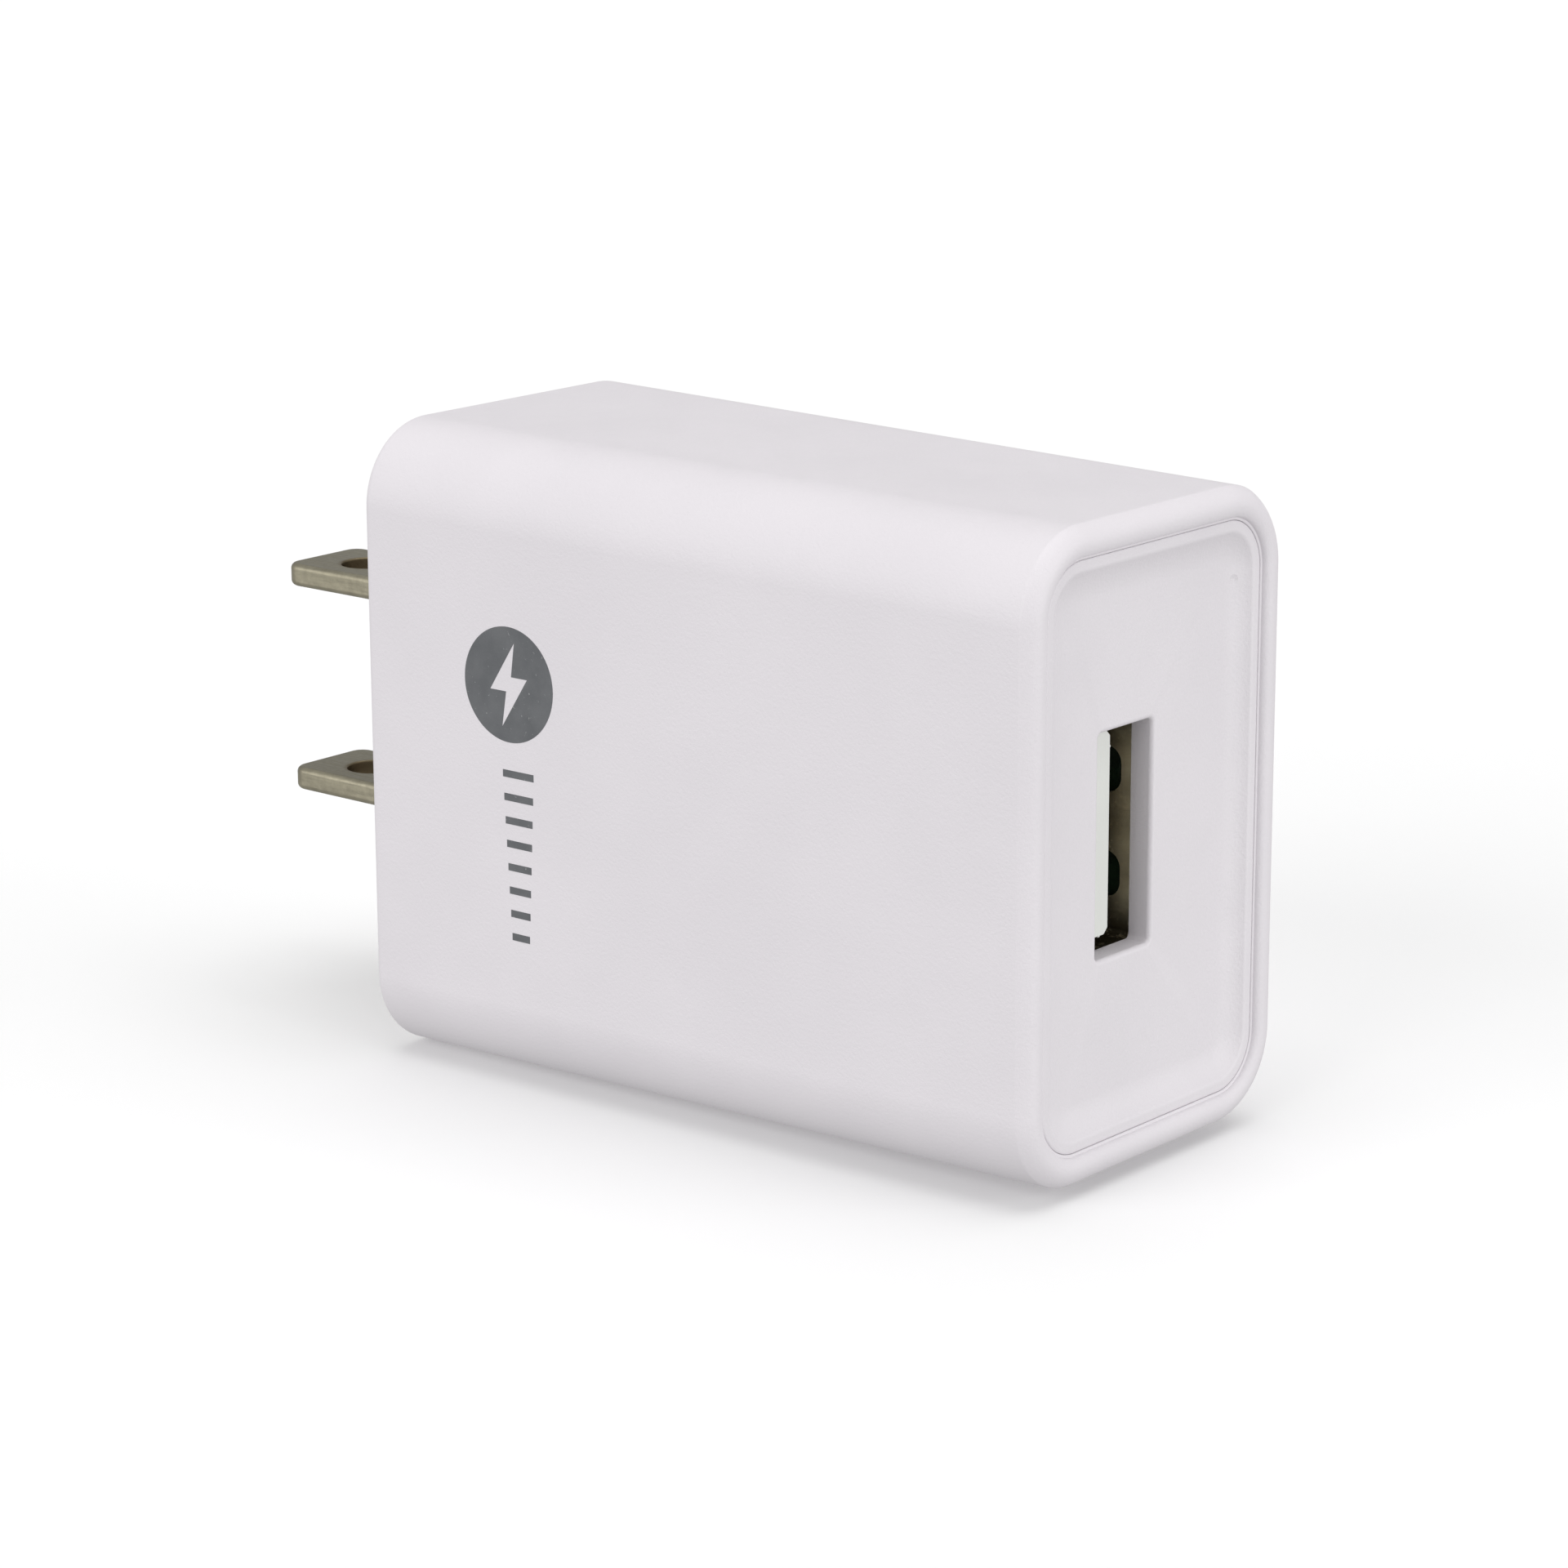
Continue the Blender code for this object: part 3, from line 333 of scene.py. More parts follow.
    def relief(self, output, depth):
        """Adds a bump of the given depth on top of those already there."""
        node = self.tree.nodes.new("ShaderNodeBump")
        node.inputs["Distance"].default_value = depth
        self.tree.links.new(output, node.inputs["Height"])
        if self.height:
            self.tree.links.new(self.height, node.inputs["Normal"])
        self.height = node.outputs["Normal"]
        self.tree.links.new(self.height, self.shader.inputs["Normal"])


def plain_moulding(name, light, dark, roughness, grain_depth, grain_per_mm=5.0, gate=None, **values):
    """Moulded plastic: a fine eroded grain, faint clouding and a slightly uneven sheen.

    gate is the place of a small dimple, as X, Y and Z in millimetres: it looks along Y.
    """
    finish = Finish(name)
    finish.set(specular_ior_level=0.4, **values)
    cloud = finish.noise(0.12, 3.0)
    speck = finish.noise(grain_per_mm * 0.8, 2.0, 0.6)
    base = finish.blend(finish.spread(cloud, 0.35, 0.65, 0.0, 1.0), light, dark)
    base = finish.blend(finish.spread(speck, 0.60, 0.80, 0.0, 0.35), base, dark)
    finish.colour(base)
    finish.roughness(finish.spread(finish.noise(0.6, 3.0), 0.3, 0.7, roughness - 0.04, roughness + 0.05))
    finish.relief(finish.noise(grain_per_mm, 2.0, 0.65), grain_depth)
    finish.relief(finish.noise(0.25, 1.0), grain_depth * 1.5)
    if gate:
        dimple = finish.spread(finish.distance(gate, (1, 0, 1)), 0.08, 0.30, 0.0, 1.0)
        finish.relief(dimple, 0.05 * MM)
    return finish.material


def plated_metal(name, light, dark, roughness, stretch, mottle_per_mm=1.2, painted_edge_glints=0.0,
                 marks_and_shade=None):
    """Plated sheet: mottled, with faint drawing marks and, if asked for, painted highlights in patches
    along its edges.

    The last argument is a function of the finish that gives pairs of a share and a colour to lay over it:
    the metal's own marks, or painted shade.
    """
    finish = Finish(name)
    finish.set(metallic=1.0)
    mottle = finish.spread(finish.noise(mottle_per_mm, 5.0, 0.65), 0.35, 0.65, 0.0, 1.0)
    base = finish.blend(mottle, dark, light)
    marks = finish.noise(6.0, 2.0, 0.6, stretch)
    base = finish.blend(finish.spread(marks, 0.55, 0.75, 0.0, 0.4), base, dark)
    # painted highlights: patches of a far lighter colour along edges that stand out
    if painted_edge_glints:
        patches = finish.spread(finish.noise(3.0, 3.0), 0.42, 0.56, 0.0, painted_edge_glints)
        edge_glint_share = finish.combine("MULTIPLY", finish.edges(0.12 * MM), patches)
        base = finish.blend(edge_glint_share, base, tuple(min(1.0, 2.4 * c) for c in light))
    # lays on the metal's own marks, or painted shade where the caller gives it
    for share, layer_colour in (marks_and_shade(finish) if marks_and_shade else ()):
        base = finish.blend(share, base, layer_colour)
    finish.colour(base)
    finish.roughness(finish.spread(marks, 0.3, 0.7, roughness - 0.08, roughness + 0.08))
    finish.relief(finish.noise(7.0, 3.0, 0.7), 0.006 * MM)
    finish.relief(marks, 0.004 * MM)
    return finish.material


def blade_edges_and_hole(finish):
    """Lighter on the sheared edges, and brown on the hole's wall and in a narrow ring round it."""
    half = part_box("blade_upper")[1].x / MM
    sheared = finish.spread(finish.combine("ABSOLUTE", finish.coordinate("X")), half - 0.30, half - 0.05,
                            0.0, 0.9)
    mottle = finish.spread(finish.noise(1.6, 4.0, 0.65), 0.35, 0.65, 0.0, 1.0)
    hole_brown = finish.spread(finish.distance((0, BLADE_HOLE_Y / MM, 0), (1, 1, 0)),
                            BLADE_HOLE_RADIUS / MM + 0.02, BLADE_HOLE_RADIUS / MM + 0.30, 0.80, 0.0)
    return ((sheared, finish.blend(mottle, (0.47, 0.436, 0.325), (0.38, 0.350, 0.262))),
            (hole_brown, (0.15, 0.110, 0.055)))


def shell_painted_shade(finish):
    """Painted shade inside the shell: darker away from the mouth and towards the narrow walls, less so in a
    few flecks.
    """
    mouth = shell_low.y / MM
    depth = finish.spread(finish.coordinate("Y"), mouth + 0.15, mouth + 1.6, 0.0, 0.95)
    ends = finish.spread(finish.combine("ABSOLUTE", finish.coordinate("Z")), 4.6, 6.0, 0.0, 0.92)
    flecks = finish.spread(finish.noise(2.2, 3.0, 0.6), 0.58, 0.66, 1.0, 0.55)
    return ((finish.combine("MULTIPLY", finish.combine("MAXIMUM", depth, ends), flecks),
             (0.050, 0.042, 0.022)),)


def board_laminate():
    """Green mask over woven glass, with lighter copper tracks and pads under it."""
    finish = Finish("board_laminate")
    finish.set(coat_weight=0.15, coat_roughness=0.3, specular_ior_level=0.3)
    tracks = finish.spread(finish.cells(0.32, (1.0, 1.0, 0.6)), 0.30, 0.34, 0.0, 1.0)
    weave = finish.bands(2.2, "Z")
    # the mask's own dark green, darkened further as painted shade for where the board shows through the
    # port's windows
    base = finish.blend(tracks, (0.004, 0.014, 0.006), (0.007, 0.025, 0.010))
    base = finish.blend(finish.spread(weave, 0.0, 1.0, 0.0, 0.25), base, (0.003, 0.010, 0.004))
    finish.colour(base)
    finish.roughness(finish.spread(finish.noise(1.5), 0.3, 0.7, 0.35, 0.5))
    finish.relief(tracks, 0.030 * MM)
    finish.relief(weave, 0.004 * MM)
    return finish.material


def insulation_film():
    """Amber film, slightly clouded and rippled."""
    finish = Finish("clear_film")
    finish.set(alpha=0.75, coat_weight=0.4)
    cloud = finish.spread(finish.noise(0.3, 3.0), 0.35, 0.65, 0.0, 1.0)
    finish.colour(finish.blend(cloud, (0.80, 0.58, 0.22), (0.68, 0.46, 0.15)))
    finish.roughness(finish.spread(cloud, 0.0, 1.0, 0.18, 0.30))
    finish.relief(finish.noise(0.4, 2.0), 0.05 * MM)
    return finish.material


def wound_wire():
    """Enamelled copper wire, turn beside turn, with painted shade darkening the grooves between turns."""
    finish = Finish("copper_wire")
    finish.set(metallic=1.0, coat_weight=0.6, coat_roughness=0.1)
    turns = finish.bands(5.0, "Z", 0.4)
    # dark where the turns dip: painted shade in the grooves
    base = finish.blend(turns, (0.23, 0.070, 0.025), (0.72, 0.300, 0.130))
    finish.colour(finish.blend(finish.spread(finish.noise(0.8, 3.0), 0.4, 0.7, 0.0, 0.5), base,
                               (0.50, 0.200, 0.080)))
    finish.roughness(finish.spread(turns, 0.0, 1.0, 0.45, 0.25))
    finish.relief(turns, 0.08 * MM)
    return finish.material


def wrapped_tape():
    """Polyester tape in layers, with faint wrinkles."""
    finish = Finish("yellow_tape")
    finish.set(coat_weight=0.5, coat_roughness=0.2)
    layers = finish.spread(finish.noise(3.0, 2.0, 0.5, (0.1, 0.1, 1.0)), 0.35, 0.65, 0.0, 1.0)
    finish.colour(finish.blend(layers, (0.78, 0.55, 0.05), (0.62, 0.40, 0.03)))
    finish.roughness(finish.spread(layers, 0.0, 1.0, 0.25, 0.4))
    finish.relief(finish.noise(0.7, 3.0), 0.05 * MM)
    return finish.material


def fired_body(name, light, dark, roughness, pits_per_mm, pit_depth, coat=0.0):
    """Ferrite, ceramic or paint: speckled, with fine pits."""
    finish = Finish(name)
    finish.set(coat_weight=coat, coat_roughness=0.15)
    speck = finish.spread(finish.noise(pits_per_mm, 4.0, 0.7), 0.4, 0.65, 0.0, 1.0)
    finish.colour(finish.blend(speck, light, dark))
    finish.roughness(finish.spread(finish.noise(pits_per_mm / 2, 3.0), 0.3, 0.7, roughness - 0.06,
                                   roughness + 0.08))
    finish.relief(speck, pit_depth)
    return finish.material


def printed_ink(name, light, dark):
    """Thin grey print with pinholes that let a little of the shell through."""
    finish = Finish(name)
    finish.set(specular_ior_level=0.5)
    cloud = finish.spread(finish.noise(0.7, 3.0), 0.35, 0.65, 0.0, 1.0)
    pinholes = finish.spread(finish.noise(5.0, 3.0, 0.7), 0.66, 0.74, 0.0, 0.7)
    base = finish.blend(cloud, light, dark)
    finish.colour(finish.blend(pinholes, base, (0.5, 0.5, 0.5)))
    finish.roughness(finish.spread(cloud, 0.0, 1.0, 0.42, 0.52))
    finish.relief(finish.noise(5.0, 2.0, 0.6), 0.008 * MM)
    return finish.material


materials = {
    "white_shell": plain_moulding("white_shell", (0.735, 0.705, 0.735), (0.715, 0.686, 0.716), 0.48,
                                  0.024 * MM),
    "white_cover": plain_moulding("white_cover", (0.735, 0.706, 0.735), (0.715, 0.687, 0.716), 0.44,
                                  0.022 * MM, gate=COVER_GATE),
    "port_plastic": plain_moulding("port_plastic", (0.730, 0.742, 0.710), (0.695, 0.708, 0.675), 0.42,
                                   0.006 * MM, 3.0),
    # the blades' edges carry painted highlights
    "blade_metal": plated_metal("blade_metal", (0.320, 0.298, 0.225), (0.262, 0.242, 0.180), 0.42,
                                (1.0, 0.05, 1.0), 3.0, painted_edge_glints=0.9, marks_and_shade=blade_edges_and_hole),
    # the shell's inside is darkened with painted shade, more with depth and towards its narrow walls
    "shell_metal": plated_metal("shell_metal", (0.90, 0.810, 0.590), (0.82, 0.730, 0.520), 0.42,
                                (1.0, 0.06, 1.0), marks_and_shade=shell_painted_shade),
    "contact_gold": plated_metal("contact_gold", (0.83, 0.600, 0.240), (0.62, 0.430, 0.150), 0.24,
                                 (1.0, 0.05, 1.0)),
    "lead_metal": plated_metal("lead_metal", (0.72, 0.72, 0.70), (0.52, 0.52, 0.51), 0.30,
                               (1.0, 1.0, 1.0)),
    "can_metal": plated_metal("can_metal", (0.78, 0.78, 0.79), (0.60, 0.60, 0.62), 0.28,
                              (0.05, 0.05, 1.0)),
    "board_laminate": board_laminate(),
    "clear_film": insulation_film(),
    "copper_wire": wound_wire(),
    "yellow_tape": wrapped_tape(),
    "ferrite": fired_body("ferrite", (0.070, 0.070, 0.076), (0.040, 0.040, 0.044), 0.62, 4.0, 0.03 * MM),
    "blue_ceramic": fired_body("blue_ceramic", (0.035, 0.130, 0.420), (0.020, 0.085, 0.320), 0.38, 1.2,
                               0.04 * MM, 0.5),
    "resistor_body": fired_body("resistor_body", (0.300, 0.400, 0.300), (0.240, 0.330, 0.240), 0.50, 3.0,
                                0.02 * MM),
    "chip_ceramic": fired_body("chip_ceramic", (0.420, 0.300, 0.180), (0.340, 0.240, 0.140), 0.50, 6.0,
                               0.01 * MM),
    "chip_plastic": plain_moulding("chip_plastic", (0.030, 0.030, 0.031), (0.020, 0.020, 0.021), 0.55,
                                   0.012 * MM),
    "bobbin_plastic": plain_moulding("bobbin_plastic", (0.028, 0.028, 0.028), (0.018, 0.018, 0.018), 0.45,
                                     0.012 * MM, 3.0),
    "black_sleeve": plain_moulding("black_sleeve", (0.024, 0.025, 0.036), (0.016, 0.017, 0.026), 0.32,
                                   0.020 * MM, 1.0, coat_weight=0.3),
    "red_insulation": plain_moulding("red_insulation", (0.520, 0.030, 0.022), (0.420, 0.022, 0.016), 0.45,
                                     0.015 * MM, 2.0),
    "black_insulation": plain_moulding("black_insulation", (0.026, 0.026, 0.026), (0.018, 0.018, 0.018),
                                       0.45, 0.015 * MM, 2.0),
    "print_ink": printed_ink("print_ink", (0.125, 0.130, 0.137), (0.100, 0.105, 0.112)),
}


# ---------------------------------------------------------------- mesh helpers

def arc(steps=ARC_STEPS):
    """Angles from 0 to a quarter turn."""
    return [math.pi / 2 * step / steps for step in range(steps + 1)]


def rounded_ring(half_width, half_height, radius, y, x=0.0):
    """The points of a rounded rectangle in a plane across the Y axis."""
    ring = []
    for quarter, (sx, sz) in enumerate(((1, 1), (-1, 1), (-1, -1), (1, -1))):
        for step in range(CORNER_STEPS + 1):
            angle = math.pi / 2 * (quarter + step / CORNER_STEPS)
            ring.append((x + sx * (half_width - radius) + radius * math.cos(angle), y,
                         sz * (half_height - radius) + radius * math.sin(angle)))
    return ring


def body_ring(inset, y):
    """A section of the tapered body at y, inset from its outer surface."""
    narrower = SIDE_TAPER * y / FRONT_Y + inset
    radius = max(CORNER_RADIUS - inset, LEAST_CORNER)
    return rounded_ring(REAR_HALF[0] - narrower, REAR_HALF[1] - narrower, radius, y)


def loft(work, rings, closed):
    """Joins rings that have the same number of points. A closed loft meets itself, another is capped."""
    rows = [[work.verts.new(point) for point in ring] for ring in rings]
    for first, second in zip(rows, rows[1:] + rows[:1] if closed else rows[1:]):
        for k, corner in enumerate(first):
            after = (k + 1) % len(first)
            work.faces.new((corner, first[after], second[after], second[k]))
    if not closed:
        work.faces.new(rows[0])
        work.faces.new(rows[-1])


def mesh_of(name, work):
    """The mesh of a bmesh, which is freed."""
    mesh = bpy.data.meshes.new(name)
    work.to_mesh(mesh)
    work.free()
    return mesh


def in_scene(name, data):
    """A new object in the scene."""
    item = bpy.data.objects.new(name, data)
    bpy.context.scene.collection.objects.link(item)
    return item


def finished(name, work, slot, node=None):
    """Turns a bmesh into a piece with a finish, which rides on the body and may stand for a node."""
    bmesh.ops.recalc_face_normals(work, faces=work.faces)
    mesh = mesh_of(name, work)
    mesh.shade_smooth()
    mesh.set_sharp_from_angle(angle=SHARP_ANGLE)
    mesh.materials.append(materials[slot])
    piece = in_scene(name, mesh)
    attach(piece, "root")
    if node:
        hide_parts(node)
    return piece


def lofted(name, rings, slot, node=None, closed=False):
    """A finished piece made of rings."""
    work = bmesh.new()
    loft(work, rings, closed)
    return finished(name, work, slot, node)


def tool(name, work):
    """A shape for cut to take away from a piece, or to add to it."""
    bmesh.ops.recalc_face_normals(work, faces=work.faces)
    return in_scene(name, mesh_of(name, work))


def block(low, high):
    """A box as a bmesh."""
    work = bmesh.new()
    low, high = Vector(low), Vector(high)
    place = Matrix.Translation((low + high) / 2) @ Matrix.Diagonal((*(high - low), 1.0))
    bmesh.ops.create_cube(work, size=1.0, matrix=place)
    return work


def soften(work, edges, radius, segments):
    """Rounds some of a bmesh's edges."""
    bmesh.ops.bevel(work, geom=edges, offset=radius, offset_type="OFFSET", segments=segments,
                    profile=0.5, affect="EDGES")


def rounded_block(low, high, radius):
    """A box with rounded edges, as a bmesh."""
    work = block(low, high)
    soften(work, work.edges[:], radius, BLOCK_SEGMENTS)
    return work


def outline_mesh(outlines, low, high):
    """Flat outlines in X and Y, with any holes in them, between the heights low and high."""
    curve = bpy.data.curves.new("outline", "CURVE")
    curve.dimensions = "2D"
    curve.fill_mode = "BOTH"
    curve.extrude = (high - low) / 2
    for outline in outlines:
        spline = curve.splines.new("POLY")
        spline.points.add(len(outline) - 1)
        for point, (a, b) in zip(spline.points, outline):
            point.co = (a, b, 0.0, 1.0)
        spline.use_cyclic_u = True
    holder = in_scene("outline", curve)
    bpy.context.view_layer.update()
    mesh = bpy.data.meshes.new_from_object(holder.evaluated_get(bpy.context.evaluated_depsgraph_get()))
    bpy.data.objects.remove(holder)
    work = bmesh.new()
    work.from_mesh(mesh)
    bpy.data.meshes.remove(mesh)
    bmesh.ops.remove_doubles(work, verts=work.verts, dist=MERGE_DISTANCE)
    bmesh.ops.dissolve_limit(work, angle_limit=FLAT_ANGLE, verts=work.verts, edges=work.edges)
    bmesh.ops.translate(work, verts=work.verts, vec=(0, 0, (low + high) / 2))
    return work


def apply_modifiers(piece):
    """Writes the piece's modifiers into its mesh."""
    seen = piece.evaluated_get(bpy.context.evaluated_depsgraph_get())
    mesh = bpy.data.meshes.new_from_object(seen)
    piece.modifiers.clear()
    old = piece.data
    piece.data = mesh
    bpy.data.meshes.remove(old)


def cut(piece, cutters, operation="DIFFERENCE"):
    """Takes the cutters away from a piece, or adds them with "UNION", and removes them."""
    for cutter in cutters:
        modifier = piece.modifiers.new(cutter.name, "BOOLEAN")
        modifier.operation = operation
        modifier.object = cutter
        modifier.solver = "EXACT"
    bpy.context.view_layer.update()
    apply_modifiers(piece)
    for cutter in cutters:
        bpy.data.objects.remove(cutter)


def even_shading(piece):
    """Keeps flat faces flat where they run into fine rounded edges."""
    piece.data.shade_smooth()
    piece.data.set_sharp_from_angle(angle=SHARP_ANGLE)
    normals = piece.modifiers.new("normals", "WEIGHTED_NORMAL")
    normals.keep_sharp = True
    normals.weight = 100


# ---------------------------------------------------------------- housing and cover

def make_housing():
    """The body: from the wall face over the rim and down inside to the ledge and the rear wall."""
    rings = [body_ring(REAR_FILLET * (1 - math.sin(a)), -REAR_FILLET * (1 - math.cos(a))) for a in arc()]
    rings.append(body_ring(0, FRONT_Y + RIM_OUTER_DROP + RIM_CREASE))
    rings += [body_ring(RIM_CREST * (1 - math.cos(a) / math.cos(RIM_START)),
                        FRONT_Y + RIM_OUTER_DROP * (1 - math.sin(a)) / (1 - math.sin(RIM_START)))
              for a in (RIM_START + (math.pi / 2 - RIM_START) * step / RIM_STEPS
                        for step in range(RIM_STEPS + 1))]
    rings += [body_ring(RIM_CREST + (RIM_INNER - RIM_CREST) * math.sin(a),
                        FRONT_Y + RIM_INNER_DROP * (1 - math.cos(a))) for a in arc()[1:-1]]
    rings += [body_ring(RIM_INNER + RIM_EDGE * math.sin(a),
                        FRONT_Y + RIM_INNER_DROP + GROOVE * (1 - math.cos(a))) for a in arc(FINE_STEPS)]
    ledge_y = FRONT_Y + RECESS_DEPTH
    rings += [body_ring(RIM_INNER + RIM_EDGE, ledge_y), body_ring(SHELL_WALL, ledge_y),
              body_ring(SHELL_WALL, -REAR_WALL)]
    housing = lofted("housing_shell", rings, "white_shell", "housing")
    holes = []
    for name in BLADES:
        low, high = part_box(name)
        work = rounded_block((low.x - BLADE_FIT, BLADE_ROOT_Y, low.z - BLADE_FIT),
                             (high.x + BLADE_FIT, REAR_WALL, high.z + BLADE_FIT), BLADE_EDGE)
        holes.append(tool(name + "_opening", work))
    cut(housing, holes)
    even_shading(housing)


def make_cover():
    """The cover: its slot, the dished panel, the ridge round it and the skirt behind the rim."""
    inset = RIM_INNER + RIM_EDGE + SEAM
    border_y = FRONT_Y + COVER_DROP
    slopes = [SLOPE * step / ARC_STEPS for step in range(ARC_STEPS + 1)]
    flat_inset = BORDER_INSET + (RIDGE_RADIUS + PANEL_FILLET) * math.sin(SLOPE)

    rings = [rounded_ring(*SLOT_HALF, SLOT_CORNER, COVER_BACK_Y, PORT_X)]
    rings += [rounded_ring(SLOT_HALF[0] + grow, SLOT_HALF[1] + grow, SLOT_CORNER + grow,
                           PANEL_Y + SLOT_EDGE * (1 - math.sin(a)), PORT_X)
              for a, grow in ((a, SLOT_EDGE * (1 - math.cos(a))) for a in arc(EDGE_STEPS))]
    rings += [body_ring(flat_inset - PANEL_FILLET * math.sin(a), PANEL_Y - PANEL_FILLET * (1 - math.cos(a)))
              for a in slopes]
    rings += [body_ring(BORDER_INSET + RIDGE_RADIUS * math.sin(a),
                        border_y + RIDGE_RADIUS * (1 - math.cos(a))) for a in reversed(slopes[:-1])]
    rings += [body_ring(inset + COVER_EDGE * (1 - math.sin(a)), border_y + GROOVE * (1 - math.cos(a)))
              for a in arc(FINE_STEPS)]
    skirt_end = FRONT_Y + RECESS_DEPTH - SEAM
    rings += [body_ring(inset, skirt_end), body_ring(inset + SKIRT_WALL, skirt_end),
              body_ring(inset + SKIRT_WALL, COVER_BACK_Y)]
    cover = lofted("front_cover_panel", rings, "white_cover", "front_cover", closed=True)
    even_shading(cover)


# ---------------------------------------------------------------- blades

def blade_ring(half, length, inset, z):
    """The blade's outline drawn in by inset, at height z."""
    radius = BLADE_TIP_RADIUS - inset
    points = [(-half + inset, BLADE_ROOT_Y, z), (half - inset, BLADE_ROOT_Y, z)]
    for sign, turn in ((1, 0), (-1, math.pi / 2)):
        points += [(sign * (half - BLADE_TIP_RADIUS) + radius * math.cos(angle + turn),
                    length - BLADE_TIP_RADIUS + radius * math.sin(angle + turn), z) for angle in arc()]
    return points


def hole_ring(grow, z):
    """The blade hole's outline widened by grow, at height z."""
    radius = BLADE_HOLE_RADIUS + grow
    return [(radius * math.cos(a), BLADE_HOLE_Y + radius * math.sin(a), z)
            for a in (2 * math.pi * step / HOLE_STEPS for step in range(HOLE_STEPS))]


def make_blades():
    """Each blade has rounded edges and a hole with softened lips."""
    for name in BLADES:
        low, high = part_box(name)
        half, length = high.x, high.y
        edges = [(BLADE_EDGE * (1 - math.cos(a)), BLADE_EDGE * (1 - math.sin(a)))
                 for a in arc(EDGE_STEPS)]
        rings = [blade_ring(half, length, inset, low.z + rise) for inset, rise in reversed(edges)]
        rings += [blade_ring(half, length, inset, high.z - rise) for inset, rise in edges]
        piece = lofted(name + "_plated", rings, "blade_metal", name)
        lips = [(HOLE_EDGE * (1 - math.cos(a)), HOLE_EDGE * (1 - math.sin(a)))
                for a in arc(FINE_STEPS)]
        work = bmesh.new()
        loft(work, [hole_ring(HOLE_EDGE, low.z - HOLE_EDGE)]
             + [hole_ring(grow, low.z + rise) for grow, rise in reversed(lips)]
             + [hole_ring(grow, high.z - rise) for grow, rise in lips]
             + [hole_ring(HOLE_EDGE, high.z + HOLE_EDGE)], False)
        cut(piece, [tool(name + "_hole", work)])
        even_shading(piece)


# ---------------------------------------------------------------- USB port

def leaf_window(z):
    """The window in the port's shell round a contact leaf, as an outline in Y and Z."""
    start = COVER_BACK_Y + WINDOW_START
    end, tip = start + WINDOW_LENGTH, start + LEAF_START
    half, radius, leaf = WINDOW_HALF, WINDOW_RADIUS, LEAF_HALF
    points = [(end, z + half)]
    points += [(start + radius * (1 - math.sin(a)), z + half - radius * (1 - math.cos(a)))
               for a in arc(EDGE_STEPS)]
    points += [(start + radius * (1 - math.cos(a)), z - half + radius * (1 - math.sin(a)))
               for a in arc(EDGE_STEPS)]
    points += [(end, z - half), (end, z - leaf), (tip, z - leaf), (tip, z + leaf), (end, z + leaf)]
    return points


def make_shell():
    """The port's sheet metal shell, with a window round each contact leaf in its wide walls."""
    half_width, half_height = SHELL_INNER
    outer = (half_width + SHELL_SHEET, half_height + SHELL_SHEET)
    front_y, rear_y = COVER_BACK_Y + SEAM, shell_high.y
    lip, inner_corner, outer_corner = SHELL_LIP, SHELL_CORNER, SHELL_CORNER + SHELL_SHEET
    rings = [rounded_ring(half_width, half_height, inner_corner, rear_y, PORT_X),
             rounded_ring(half_width, half_height, inner_corner, front_y + lip, PORT_X),
             rounded_ring(half_width + lip, half_height + lip, inner_corner + lip, front_y, PORT_X),
             rounded_ring(*outer, outer_corner, front_y, PORT_X),
             rounded_ring(*outer, outer_corner, rear_y, PORT_X)]
    shell = lofted("usb_shell_sheet", rings, "shell_metal", "usb_shell", closed=True)
    turn = Matrix(((0, 0, 1, 0), (1, 0, 0, 0), (0, 1, 0, 0), (0, 0, 0, 1)))
    windows = []
    for z in (WINDOW_Z, -WINDOW_Z):
        work = outline_mesh([leaf_window(z)], PORT_X - 2 * half_width, PORT_X + 2 * half_width)
        bmesh.ops.transform(work, matrix=turn, verts=work.verts)
        windows.append(tool("leaf_window", work))
    cut(shell, windows)
    even_shading(shell)


